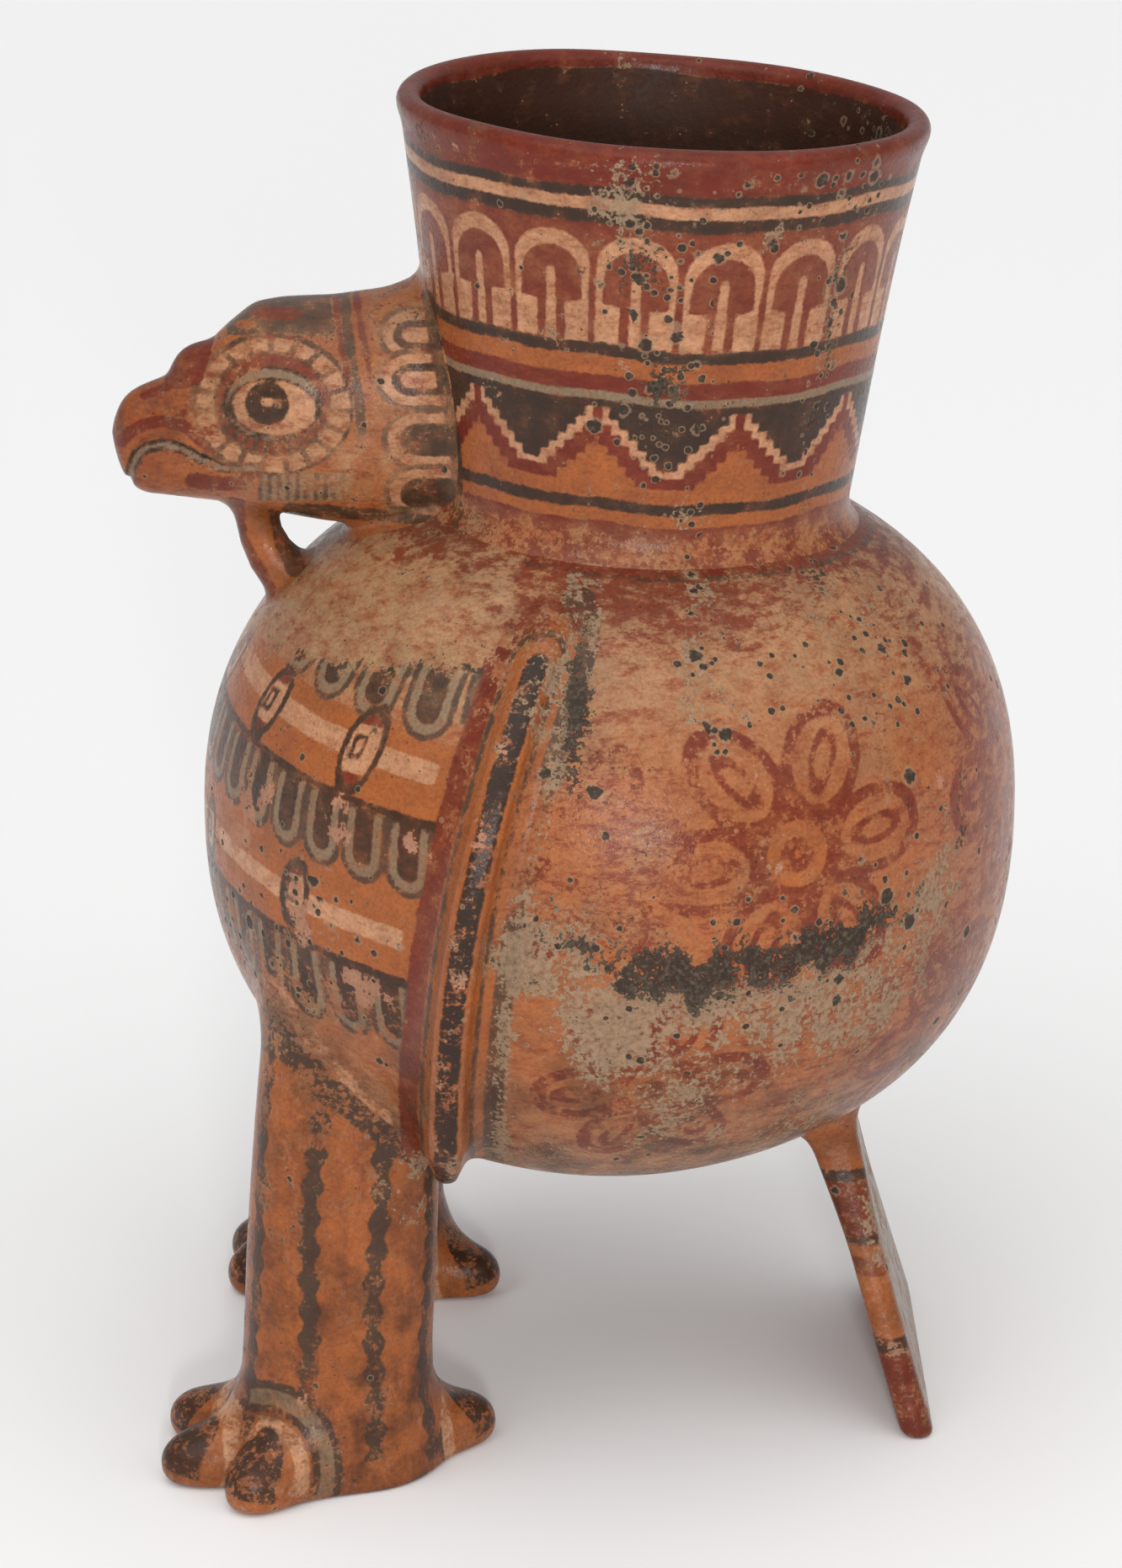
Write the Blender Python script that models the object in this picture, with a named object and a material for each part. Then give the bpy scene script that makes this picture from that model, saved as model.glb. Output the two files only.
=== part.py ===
"""Eagle effigy pot: a globe-bodied ceramic jar that stands on two taloned legs and a fan tail.

Metres, +Z up. The bird faces -X, its left side is -Y, and the origin lies on the
floor under the middle of its length. Each clay member is its own closed solid. Where two
members are luted together, the later one is cut to the earlier one's surface, JOINT_GAP away.
"""

import math

import bmesh
import bpy
from mathutils import Vector

# Joints and counts
JOINT_GAP = 0.0003
BODY_SEGMENTS = 50
NECK_SEGMENTS = 50

# Globe
BODY_CENTRE_X = 0.0122
BODY_CENTRE_Z = 0.1873
BODY_RADIUS = 0.1204
BODY_HALF_HEIGHT = 0.1036
BODY_FULLNESS = 2.31
WALL = 0.0068
GIRTH = BODY_RADIUS / 0.1204

# Neck: it leans back and flares to a rounded lip
NECK_SETBACK = 0.0086
NECK_FOOT_ABOVE_CENTRE = BODY_HALF_HEIGHT - 0.0036
NECK_LEAN = math.radians(3.4)
NECK_HEIGHT = 0.1108
NECK_FOOT_RADIUS = 0.0603
RIM_RADIUS = 0.0752
NECK_WALL = 0.0062

# Head and beak: heights hang on the foot of the neck, lengths on its front
HEAD_BASE_Z = BODY_CENTRE_Z + NECK_FOOT_ABOVE_CENTRE
HEAD_TOP_Z = HEAD_BASE_Z + 0.0539
HEAD_CHIN_Z = HEAD_BASE_Z - 0.0058
BEAK_TOP_Z = HEAD_BASE_Z + 0.0292
MOUTH_Z = HEAD_BASE_Z + 0.0102
HEAD_LENGTH = 0.0897
HEAD_STRETCH = HEAD_LENGTH / 0.0897
NECK_FRONT_X = BODY_CENTRE_X + NECK_SETBACK - NECK_FOOT_RADIUS - 0.0035
BEAK_FRONT_X = NECK_FRONT_X - HEAD_LENGTH
HEAD_BURY = 0.0200
HEAD_HALF_WIDTH = 0.0262
BEAK_HALF_WIDTH = 0.0120
MOUTH_LENGTH = 0.0400 * HEAD_STRETCH
KNOB_LENGTH = 0.0180
KNOB_HEIGHT = 0.0160
KNOB_WIDTH = 0.0190
KNOB_TILT = 0.55

# Chin strap, from the chin down to the chest
STRAP_DEPTH = 0.0125
STRAP_WIDTH = 0.0150

# Wing flanges: they follow the height and the girth of the globe
WING_TOP_Z = BODY_CENTRE_Z + 0.856 * BODY_HALF_HEIGHT
WING_TIP_Z = BODY_CENTRE_Z - 0.775 * BODY_HALF_HEIGHT
WING_TOP_X = BODY_CENTRE_X - 0.0137 * GIRTH
WING_SWEEP = 0.0335 * GIRTH
WING_PROJECTION = 0.0140
WING_EDGE = 0.0086
WING_ROOT_SPREAD = 0.0130

# Legs and feet: their stance grows with the globe
LEG_FOOT_X = BODY_CENTRE_X - 0.0814 * GIRTH
LEG_FOOT_Y = 0.0608 * GIRTH
LEG_TOP_X = BODY_CENTRE_X - 0.0707 * GIRTH
LEG_TOP_Y = 0.0560 * GIRTH
LEG_TOP_Z = BODY_CENTRE_Z - 0.0173
LEG_HALF_DEPTH = 0.0280
LEG_HALF_WIDTH = 0.0222
TOE_OUT = math.radians(17.0)
TOE_SPREAD = math.radians(35.0)
TOE_REACH = 0.0540
RIGHT_TOE_REACH = 0.0450
OUTER_TOE_REACH = 0.0465
SPUR_REACH = 0.0490
TOE_HALF_WIDTH = 0.0128
TOE_HEIGHT = 0.0270

# Tail: its top bites into the underside of the globe
TAIL_FOOT_X = BODY_CENTRE_X + 0.0938
TAIL_TOP_X = BODY_CENTRE_X + 0.0632
TAIL_BITE = 0.0074
TAIL_THICKNESS = 0.0098
TAIL_FOOT_HALF_WIDTH = 0.0520
TAIL_TOP_HALF_WIDTH = 0.0260

SIDES = (("left", -1.0), ("right", 1.0))


def clear_scene():
    for thing in list(bpy.data.objects):
        bpy.data.objects.remove(thing, do_unlink=True)


def clay(name, colour, roughness):
    material = bpy.data.materials.new(name)
    material.use_nodes = True
    shader = material.node_tree.nodes["Principled BSDF"]
    shader.inputs["Base Color"].default_value = (*colour, 1.0)
    shader.inputs["Roughness"].default_value = roughness
    shader.inputs["Metallic"].default_value = 0.0
    return material


def add_object(name, bm, material=None):
    bmesh.ops.recalc_face_normals(bm, faces=bm.faces[:])
    mesh = bpy.data.meshes.new(name)
    bm.to_mesh(mesh)
    bm.free()
    for face in mesh.polygons:
        face.use_smooth = True
    thing = bpy.data.objects.new(name, mesh)
    bpy.context.scene.collection.objects.link(thing)
    if material is None:
        thing.hide_render = True
        thing.display_type = "WIRE"
    else:
        mesh.materials.append(material)
    return thing


def boolean(target, cutter, operation="DIFFERENCE", solver="EXACT"):
    modifier = target.modifiers.new(operation.lower() + "_" + cutter.name, "BOOLEAN")
    modifier.operation = operation
    modifier.solver = solver
    modifier.object = cutter


def superellipse(angle, half_a, half_b, power):
    c = math.cos(angle)
    s = math.sin(angle)
    a = math.copysign(abs(c) ** (2.0 / power), c) * half_a
    b = math.copysign(abs(s) ** (2.0 / power), s) * half_b
    return a, b


def loft(sections):
    """A closed solid through rings of equal counts, with a flat cap on each end."""
    bm = bmesh.new()
    rings = [[bm.verts.new(point) for point in ring] for ring in sections]
    count = len(rings[0])
    for lower, upper in zip(rings, rings[1:]):
        for i in range(count):
            j = (i + 1) % count
            bm.faces.new((lower[i], lower[j], upper[j], upper[i]))
    bm.faces.new(rings[0])
    bm.faces.new(rings[-1])
    return bm


def revolve(profile, segments, placed):
    """Spins a closed (radius, height) profile about its own axis; placed sets each point in the frame."""
    bm = bmesh.new()
    columns = []
    for k in range(segments):
        angle = math.tau * k / segments
        column = []
        for radius, height in profile:
            column.append(None if radius < 1e-7 else bm.verts.new(placed(radius, angle, height)))
        columns.append(column)
    for i, (radius, height) in enumerate(profile):
        if radius < 1e-7:
            pole = bm.verts.new(placed(0.0, 0.0, height))
            for column in columns:
                column[i] = pole
    last = len(profile)
    for k in range(segments):
        here = columns[k]
        there = columns[(k + 1) % segments]
        for i in range(last):
            j = (i + 1) % last
            corners = []
            for vert in (here[i], there[i], there[j], here[j]):
                if vert not in corners:
                    corners.append(vert)
            if len(corners) > 2:
                bm.faces.new(corners)
    return bm


def blend(value, low, high):
    t = min(max((value - low) / (high - low), 0.0), 1.0)
    return t * t * (3.0 - 2.0 * t)


def through(stations, value):
    """Straight-line interpolation through (position, amount) stations."""
    if value <= stations[0][0]:
        return stations[0][1]
    for (p0, a0), (p1, a1) in zip(stations, stations[1:]):
        if value <= p1:
            t = (value - p0) / (p1 - p0)
            return a0 + (a1 - a0) * t
    return stations[-1][1]


# Globe and neck


def on_body_axis(radius, angle, height):
    return Vector((
        BODY_CENTRE_X + radius * math.cos(angle),
        radius * math.sin(angle),
        BODY_CENTRE_Z + height,
    ))


def on_neck_axis(radius, angle, height):
    across = radius * math.cos(angle)
    return Vector((
        BODY_CENTRE_X + NECK_SETBACK + across * math.cos(NECK_LEAN) + height * math.sin(NECK_LEAN),
        radius * math.sin(angle),
        BODY_CENTRE_Z + NECK_FOOT_ABOVE_CENTRE + height * math.cos(NECK_LEAN) - across * math.sin(NECK_LEAN),
    ))


def globe_profile(grow, steps):
    points = []
    for k in range(steps + 1):
        angle = -math.pi / 2.0 + math.pi * k / steps
        radius, height = superellipse(angle, BODY_RADIUS + grow, BODY_HALF_HEIGHT + grow, BODY_FULLNESS)
        points.append((0.0 if k in (0, steps) else radius, height))
    return points


def globe_radius(height, grow=0.0):
    share = min(abs(height) / (BODY_HALF_HEIGHT + grow), 1.0)
    return (BODY_RADIUS + grow) * (1.0 - share ** BODY_FULLNESS) ** (1.0 / BODY_FULLNESS)


def globe_rise(x):
    """How far the globe's top stands over its centre, in the middle plane, at x."""
    share = min(abs(x - BODY_CENTRE_X) / BODY_RADIUS, 1.0)
    return BODY_HALF_HEIGHT * (1.0 - share ** BODY_FULLNESS) ** (1.0 / BODY_FULLNESS)


def neck_radius(height):
    straight = NECK_FOOT_RADIUS + (RIM_RADIUS - NECK_FOOT_RADIUS) * height / NECK_HEIGHT
    waist = 0.0014 * math.sin(math.pi * min(max(height / NECK_HEIGHT, 0.0), 1.0))
    return straight - waist


def solid_globe(name, grow, steps=22):
    return add_object(name, revolve(globe_profile(grow, steps), BODY_SEGMENTS, on_body_axis))


def solid_neck(name, grow, low, high):
    heights = [low + (high - low) * k / 8.0 for k in range(9)]
    profile = [(0.0, low)]
    profile += [(neck_radius(h) + grow, h) for h in heights]
    profile += [(0.0, high)]
    return add_object(name, revolve(profile, NECK_SEGMENTS, on_neck_axis))


def make_body(material):
    body = add_object("body_globe", revolve(globe_profile(0.0, 26), BODY_SEGMENTS, on_body_axis), material)
    hollow = solid_globe("guide_globe_cavity", -WALL)
    mouth = solid_neck("guide_mouth_bore", -NECK_WALL, -0.045, 0.030)
    boolean(body, hollow)
    boolean(body, mouth)
    return body


def make_neck(material, globe_clear):
    outer = []
    for k in range(9):
        height = -0.030 + (NECK_HEIGHT - 0.006 + 0.030) * k / 8.0
        outer.append((neck_radius(height), height))
    lip = []
    lip_centre = RIM_RADIUS - NECK_WALL / 2.0
    for k in range(1, 7):
        angle = math.pi * k / 7.0
        lip.append((
            lip_centre + NECK_WALL / 2.0 * math.cos(angle),
            NECK_HEIGHT - 0.006 + 0.006 * math.sin(angle),
        ))
    inner = [(radius - NECK_WALL, height) for radius, height in reversed(outer)]
    neck = add_object("neck_collar", revolve(outer + lip + inner, NECK_SEGMENTS, on_neck_axis), material)
    boolean(neck, globe_clear)
    return neck


# Head


def head_sections(grow):
    """Rings across the head from the hooked beak to inside the neck: top, underside and half width."""
    front = BEAK_FRONT_X
    top = (
        (0.0000, HEAD_BASE_Z + 0.0149),
        (0.0016, HEAD_BASE_Z + 0.0218),
        (0.0057, HEAD_BASE_Z + 0.0260),
        (0.0103, BEAK_TOP_Z - 0.0009),
        (0.0160, BEAK_TOP_Z + 0.0012),
        (0.0250, BEAK_TOP_Z + 0.0075),
        (0.0340, HEAD_TOP_Z - 0.0084),
        (0.0420, HEAD_TOP_Z - 0.0020),
        (0.0500, HEAD_TOP_Z - 0.0006),
        (0.0650, HEAD_TOP_Z),
        (0.0800, HEAD_TOP_Z + 0.0022),
        (0.0897, HEAD_TOP_Z + 0.0060),
        (0.1097, HEAD_TOP_Z + 0.0080),
    )
    under = (
        (0.0000, HEAD_BASE_Z + 0.0131),
        (0.0008, HEAD_BASE_Z + 0.0060),
        (0.0047, HEAD_BASE_Z - 0.0011),
        (0.0092, HEAD_CHIN_Z + 0.0021),
        (0.0160, HEAD_CHIN_Z + 0.0017),
        (0.0323, HEAD_CHIN_Z),
        (0.0612, HEAD_CHIN_Z - 0.0050),
        (0.0897, HEAD_CHIN_Z - 0.0080),
        (0.1097, HEAD_CHIN_Z - 0.0095),
    )
    width = (
        (0.0000, 0.0010),
        (0.0016, 0.0050),
        (0.0057, 0.0085),
        (0.0160, BEAK_HALF_WIDTH),
        (0.0280, BEAK_HALF_WIDTH + 0.0035),
        (0.0420, HEAD_HALF_WIDTH - 0.0042),
        (0.0550, HEAD_HALF_WIDTH - 0.0004),
        (0.0700, HEAD_HALF_WIDTH),
        (0.1097, HEAD_HALF_WIDTH - 0.0012),
    )
    stations = [0.0, 0.0008, 0.0022, 0.0045, 0.0075, 0.0115, 0.0160, 0.0220, 0.0285, 0.0340]
    stations += [0.0400, 0.0460, 0.0530, 0.0610, 0.0700, 0.0800, 0.0897, 0.0897 + HEAD_BURY]
    sections = []
    for step in stations:
        x = front + step * HEAD_STRETCH
        high = through(top, step) + grow
        low = through(under, step) - grow
        half = through(width, step) + grow
        ring = []
        for k in range(28):
            y, z = superellipse(math.tau * k / 28.0, half, (high - low) / 2.0, 2.35)
            ring.append(Vector((x - (grow if step == 0.0 else 0.0), y, (high + low) / 2.0 + z)))
        sections.append(ring)
    return sections


def slab(name, outline):
    """A guide that runs right across the head: an outline in X and Z, extruded along Y."""
    reach = 0.080
    near = [Vector((x, -reach, z)) for x, z in outline]
    far = [Vector((x, reach, z)) for x, z in outline]
    return add_object(name, loft([near, far]))


def mouth_line(shift):
    """The gape, from the hooked tip up under the beak and back to its corner."""
    front = BEAK_FRONT_X
    corner = front + MOUTH_LENGTH
    shape = (
        (0.0030, -0.0300),
        (0.0048, -0.0110),
        (0.0072, -0.0005),
        (0.0100, 0.0033),
        (0.0140, 0.0045),
        (0.0190, 0.0036),
        (0.0260, 0.0004),
        (0.0320, -0.0020),
    )
    line = [(front + along * HEAD_STRETCH, MOUTH_Z + rise) for along, rise in shape]
    line.append((corner + 0.0020, MOUTH_Z - 0.0028))
    moved = []
    for k, (x, z) in enumerate(line):
        ahead = Vector(line[min(k + 1, len(line) - 1)]) - Vector(line[max(k - 1, 0)])
        side = Vector((-ahead.y, ahead.x)).normalized()
        moved.append((x + side.x * shift, z + side.y * shift))
    return moved


def beak_base(shift):
    """The line where the beak was luted to the face, from crown to throat."""
    front = BEAK_FRONT_X
    return [
        (front + 0.0250 * HEAD_STRETCH + shift, HEAD_TOP_Z + 0.0290),
        (front + 0.0270 * HEAD_STRETCH + shift, HEAD_TOP_Z - 0.0120),
        (front + 0.0315 * HEAD_STRETCH + shift, MOUTH_Z + 0.0150),
        (front + MOUTH_LENGTH + shift, MOUTH_Z - 0.0030),
        (front + MOUTH_LENGTH + shift, HEAD_CHIN_Z - 0.0315),
    ]


def make_head(materials, neck_clear, globe_clear):
    half = JOINT_GAP / 2.0
    over = HEAD_TOP_Z + 0.0290
    below = HEAD_CHIN_Z - 0.0315
    behind = [(BEAK_FRONT_X + 2.0 * HEAD_LENGTH, below), (BEAK_FRONT_X + 2.0 * HEAD_LENGTH, over)]
    face_zone = slab("guide_face_zone", beak_base(half) + behind)
    head = add_object("head", loft(head_sections(0.0)), materials["head"])
    boolean(head, face_zone, "INTERSECT")
    boolean(head, neck_clear)
    boolean(head, globe_clear)

    base = beak_base(-half)
    gape = mouth_line(half)
    upper_zone = slab(
        "guide_upper_beak_zone",
        [(BEAK_FRONT_X - 0.030, over)] + base[:3] + [(base[3][0], gape[-1][1])]
        + [point for point in reversed(gape) if point[0] < base[3][0]]
        + [(BEAK_FRONT_X - 0.030, gape[0][1])],
    )
    upper = add_object("upper_beak", loft(head_sections(0.0)), materials["beak"])
    boolean(upper, upper_zone, "INTERSECT")

    gape = mouth_line(-half)
    lower_zone = slab(
        "guide_lower_beak_zone",
        [point for point in gape if point[0] < base[3][0]]
        + [(base[3][0], gape[-1][1]), (base[3][0], below), (gape[0][0], below)],
    )
    lower = add_object("lower_beak", loft(head_sections(0.0)), materials["beak"])
    boolean(lower, lower_zone, "INTERSECT")

    head_clear = add_object("guide_head_clear", loft(head_sections(JOINT_GAP)))
    knob = bmesh.new()
    bmesh.ops.create_uvsphere(knob, u_segments=20, v_segments=12, radius=0.5)
    for vert in knob.verts:
        x = vert.co.x * KNOB_LENGTH
        z = vert.co.z * KNOB_HEIGHT
        vert.co = Vector((
            BEAK_FRONT_X + 0.0262 * HEAD_STRETCH + x * math.cos(KNOB_TILT) - z * math.sin(KNOB_TILT),
            vert.co.y * KNOB_WIDTH,
            BEAK_TOP_Z + 0.0035 + x * math.sin(KNOB_TILT) + z * math.cos(KNOB_TILT),
        ))
    knob = add_object("cere_knob", knob, materials["knob"])
    boolean(knob, head_clear, solver="MANIFOLD")
    return head_clear


def make_strap(material, head_clear, globe_clear):
    """A flat strap that leaves the chin, drops and spreads back on to the chest."""
    chin_x = BEAK_FRONT_X + 0.0392 * HEAD_STRETCH
    chin_z = HEAD_CHIN_Z + 0.0085
    chest_x = chin_x + 0.0220
    chest_z = BODY_CENTRE_Z + globe_rise(chest_x) - 0.0144
    shares = (
        (0.000, 0.000, 1.30),
        (0.045, 0.194, 1.12),
        (0.105, 0.375, 1.00),
        (0.159, 0.542, 1.00),
        (0.332, 0.708, 1.25),
        (0.614, 0.861, 1.60),
        (1.000, 1.000, 1.95),
    )
    path = []
    for back, down, swell in shares:
        path.append((chin_x + (chest_x - chin_x) * back, chin_z + (chest_z - chin_z) * down, swell))
    sections = []
    for k, (x, z, swell) in enumerate(path):
        before = path[max(k - 1, 0)]
        after = path[min(k + 1, len(path) - 1)]
        along = Vector((after[0] - before[0], 0.0, after[1] - before[1])).normalized()
        side = Vector((along.z, 0.0, -along.x))
        ring = []
        for i in range(16):
            y, out = superellipse(math.tau * i / 16.0, STRAP_WIDTH * swell / 2.0, STRAP_DEPTH * swell / 2.0, 2.6)
            ring.append(Vector((x, y, z)) + side * out)
        sections.append(ring)
    strap = add_object("chin_strap", loft(sections), material)
    boolean(strap, head_clear)
    boolean(strap, globe_clear)


# Wings


def make_wing(name, side, material, globe_clear, leg_clear):
    """A flange that rises out of the shoulder, stands off the flank and ends in a hanging tip."""
    sections = []
    count = 13
    for k in range(count):
        share = k / (count - 1.0)
        z = WING_TOP_Z + (WING_TIP_Z - WING_TOP_Z) * share
        sweep = WING_TOP_X - WING_SWEEP * math.sin(math.pi / 2.0 * min(share * 1.12, 1.0)) ** 0.8
        height = z - BODY_CENTRE_Z
        reach = globe_radius(height)
        flank = math.sqrt(max(reach ** 2 - (sweep - BODY_CENTRE_X) ** 2, 0.0))
        rise = (WING_PROJECTION + 0.002) * blend(share, -0.10, 0.42) - 0.002
        hang = 0.0130 * blend(share, 0.72, 1.0)
        edge = flank + rise + hang
        root = flank - 0.006
        tip = 1.0 if share < 0.9 else 1.0 - 0.45 * blend(share, 0.9, 1.0)
        ring = []
        edge_half = WING_EDGE / 2.0 * (0.72 + 0.28 * blend(share, 0.0, 0.2)) * tip
        depths = (1.0, 0.72, 0.50, 0.32, 0.18, 0.07)
        spread = edge - root
        for depth in depths:
            half = edge_half + WING_ROOT_SPREAD * tip * depth ** 1.7
            ring.append(Vector((sweep - half, side * (edge - spread * depth - 0.0008), z)))
        ring.append(Vector((sweep - edge_half * 0.55, side * edge, z)))
        ring.append(Vector((sweep + edge_half * 0.55, side * edge, z)))
        for depth in reversed(depths):
            half = edge_half + WING_ROOT_SPREAD * tip * 0.8 * depth ** 1.7
            ring.append(Vector((sweep + half, side * (edge - spread * depth - 0.0008), z)))
        sections.append(ring)
    wing = add_object(name, loft(sections), material)
    boolean(wing, globe_clear)
    boolean(wing, leg_clear)


# Legs and feet


def leg_sections(side, grow):
    """An oval post, a little waisted, that leans forward to the floor and widens at the ankle."""
    sections = []
    levels = [0.0, 0.0022, 0.008, 0.018, 0.030, 0.045]
    levels += [0.045 + (LEG_TOP_Z - 0.045) * k / 5.0 for k in range(1, 6)]
    for z in levels:
        share = z / LEG_TOP_Z
        lean = share ** 2.2
        ankle = 0.0018 * (1.0 - blend(z, 0.0, 0.045))
        sole = -0.0012 * (1.0 - blend(z, 0.0, 0.003))
        shape = 1.0 - 0.08 * blend(share, 0.35, 1.0)
        ring = []
        for k in range(28):
            x, y = superellipse(
                math.tau * k / 28.0,
                LEG_HALF_DEPTH * shape + ankle + sole + grow,
                LEG_HALF_WIDTH * shape + ankle + sole + grow,
                2.3,
            )
            ring.append(Vector((
                LEG_FOOT_X + (LEG_TOP_X - LEG_FOOT_X) * lean + x,
                side * (LEG_FOOT_Y + (LEG_TOP_Y - LEG_FOOT_Y) * lean) + y,
                z - (grow if z == 0.0 else 0.0),
            )))
        sections.append(ring)
    return sections


def toe_sections(side, turn, reach, grow):
    """A rounded lobe on a flat sole, from inside the ankle out to a blunt claw."""
    away = math.pi + side * -turn
    ahead = Vector((math.cos(away), math.sin(away), 0.0))
    across = Vector((-ahead.y, ahead.x, 0.0))
    start = Vector((LEG_FOOT_X, side * LEG_FOOT_Y, 0.0))
    sections = []
    for share in (0.12, 0.40, 0.55, 0.68, 0.80, 0.89, 0.955, 0.99):
        fall = math.sqrt(max(1.0 - max((share - 0.70) / 0.30, 0.0) ** 2, 0.0))
        fall = max(fall, 0.12)
        half = TOE_HALF_WIDTH * fall * (0.94 + 0.06 * blend(share, 0.3, 0.8)) + grow
        high = (TOE_HEIGHT - 0.0070 * blend(share, 0.3, 0.85)) * (0.42 + 0.58 * fall) + grow
        ring = []
        for k in range(20):
            a, b = superellipse(math.tau * k / 20.0, half, 1.0, 2.3)
            level = high * (0.40 + 0.60 * b) if b > 0.0 else high * 0.40 * (1.0 + b)
            point = start + ahead * (reach * share + (grow if share == 0.99 else 0.0)) + across * a
            ring.append(Vector((point.x, point.y, level - (grow if b < -0.9 else 0.0))))
        sections.append(ring)
    return sections


def make_foot(side_name, side, materials, leg_clear):
    middle_turn = TOE_OUT
    front_reach = TOE_REACH if side < 0.0 else RIGHT_TOE_REACH
    toes = (
        ("middle_toe_" + side_name, middle_turn, front_reach),
        ("inner_toe_" + side_name, middle_turn - TOE_SPREAD, front_reach),
        ("outer_toe_" + side_name, middle_turn + TOE_SPREAD, OUTER_TOE_REACH),
        ("rear_spur_" + side_name, middle_turn + math.pi, SPUR_REACH),
    )
    middle_clear = add_object(
        "guide_middle_toe_clear_" + side_name,
        loft(toe_sections(side, middle_turn, front_reach, JOINT_GAP)),
    )
    for name, turn, reach in toes:
        toe = add_object(name, loft(toe_sections(side, turn, reach, 0.0)), materials["toe"])
        boolean(toe, leg_clear, solver="MANIFOLD")
        if name.startswith(("inner", "outer")):
            boolean(toe, middle_clear, solver="MANIFOLD")


def make_tail(material, globe_clear):
    """A fan-shaped slab that slopes down and back from the globe to its foot on the floor."""
    top_z = BODY_CENTRE_Z - globe_rise(TAIL_TOP_X) + TAIL_BITE
    slope = (TAIL_FOOT_X - TAIL_TOP_X) / top_z
    sections = []
    for z in (0.0, 0.0030, 0.010, 0.030, 0.54 * top_z, 0.78 * top_z, top_z):
        share = z / top_z
        half_width = TAIL_FOOT_HALF_WIDTH + (TAIL_TOP_HALF_WIDTH - TAIL_FOOT_HALF_WIDTH) * share
        sole = 0.0022 * (1.0 - blend(z, 0.0, 0.006))
        thick = TAIL_THICKNESS / 2.0 - sole * 0.7 + 0.0030 * blend(share, 0.5, 1.0)
        ring = []
        for k in range(26):
            y, x = superellipse(math.tau * k / 26.0, half_width - sole, thick, 7.0)
            ring.append(Vector((TAIL_FOOT_X - slope * z + x, y, z)))
        sections.append(ring)
    tail = add_object("tail_slab", loft(sections), material)
    boolean(tail, globe_clear)


def build():
    clear_scene()
    materials = {
        "body": clay("burnished_orange_slip", (0.42, 0.17, 0.075), 0.45),
        "neck": clay("red_banded_slip", (0.30, 0.085, 0.05), 0.45),
        "head": clay("orange_tan_slip", (0.45, 0.21, 0.10), 0.50),
        "beak": clay("orange_beak_slip", (0.40, 0.15, 0.06), 0.45),
        "knob": clay("dark_red_slip", (0.22, 0.05, 0.035), 0.45),
        "wing": clay("brown_black_edge_slip", (0.11, 0.055, 0.035), 0.40),
        "leg": clay("striped_orange_slip", (0.38, 0.15, 0.07), 0.55),
        "toe": clay("dark_claw_slip", (0.20, 0.10, 0.06), 0.50),
        "tail": clay("red_edged_slip", (0.33, 0.12, 0.075), 0.50),
    }
    globe_clear = solid_globe("guide_globe_clear", JOINT_GAP, 26)
    neck_clear = solid_neck("guide_neck_clear", JOINT_GAP, -0.030, NECK_HEIGHT + 0.010)
    make_body(materials["body"])
    make_neck(materials["neck"], globe_clear)
    head_clear = make_head(materials, neck_clear, globe_clear)
    make_strap(materials["knob"], head_clear, globe_clear)
    for side_name, side in SIDES:
        leg_clear = add_object("guide_leg_clear_" + side_name, loft(leg_sections(side, JOINT_GAP)))
        leg = add_object("leg_" + side_name, loft(leg_sections(side, 0.0)), materials["leg"])
        boolean(leg, globe_clear)
        make_wing("wing_" + side_name, side, materials["wing"], globe_clear, leg_clear)
        make_foot(side_name, side, materials, leg_clear)
    make_tail(materials["tail"], globe_clear)


build()
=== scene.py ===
"""The looks of the eagle effigy pot: smooth luted clay, slip painting, wear and the studio.

Metres, +Z up, in the frame of the part: the bird faces -X and its left side is -Y. Every
member is a closed piece whose fillet ends just under the skin of the member that it was
luted to. The slip painting is worked out as signed distances, in millimetres, on the points
of each piece, and one clay material turns them into worn paint with painted shade.
"""

import math

import bpy
import numpy as np
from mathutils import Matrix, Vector


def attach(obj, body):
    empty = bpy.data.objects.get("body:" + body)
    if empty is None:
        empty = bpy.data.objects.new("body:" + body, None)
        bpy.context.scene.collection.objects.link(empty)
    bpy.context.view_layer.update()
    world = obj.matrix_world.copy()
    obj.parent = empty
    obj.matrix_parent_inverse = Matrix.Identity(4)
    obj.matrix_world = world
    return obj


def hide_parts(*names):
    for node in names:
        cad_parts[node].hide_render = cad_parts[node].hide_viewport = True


MM = 0.001
TINY = 1e-6

# Sizes of the part
BODY_CENTRE_X = 0.0122
BODY_CENTRE_Z = 0.1873
BODY_RADIUS = 0.1204
BODY_HALF_HEIGHT = 0.1036
BODY_FULLNESS = 2.31
WALL = 0.0068
NECK_SETBACK = 0.0086
NECK_FOOT_X = BODY_CENTRE_X + NECK_SETBACK
NECK_FOOT_Z = BODY_CENTRE_Z + 0.1000
NECK_LEAN = math.radians(3.4)
NECK_HEIGHT = 0.1108
NECK_FOOT_RADIUS = 0.0603
RIM_RADIUS = 0.0752
NECK_WAIST = 0.0014
NECK_WALL = 0.0062
HEAD_BASE_Z = 0.2873
HEAD_FULLNESS = 2.35
BEAK_FRONT_X = -0.1327
MOUTH_Z = 0.2975
GAPE_DEPTH = 0.0011
EYE_X = -0.0868
EYE_Z = 0.3175
EYE_SWELL = 0.0009
EYE_REACH = 0.0085
KNOB_X = BEAK_FRONT_X + 0.0262
KNOB_Z = 0.3200
KNOB_TILT = 0.55
KNOB_HALF = (0.0088, 0.0092, 0.0074)
KNOB_MEAN_HALF = 0.0080
STRAP_HALF = (0.00625, 0.00750)
LEG_FOOT_X = -0.0692
LEG_FOOT_Y = 0.0608
LEG_TOP_X = -0.0585
LEG_TOP_Y = 0.0560
LEG_TOP_Z = 0.1700
LEG_HALF_DEPTH = 0.0280
LEG_HALF_WIDTH = 0.0222
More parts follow.
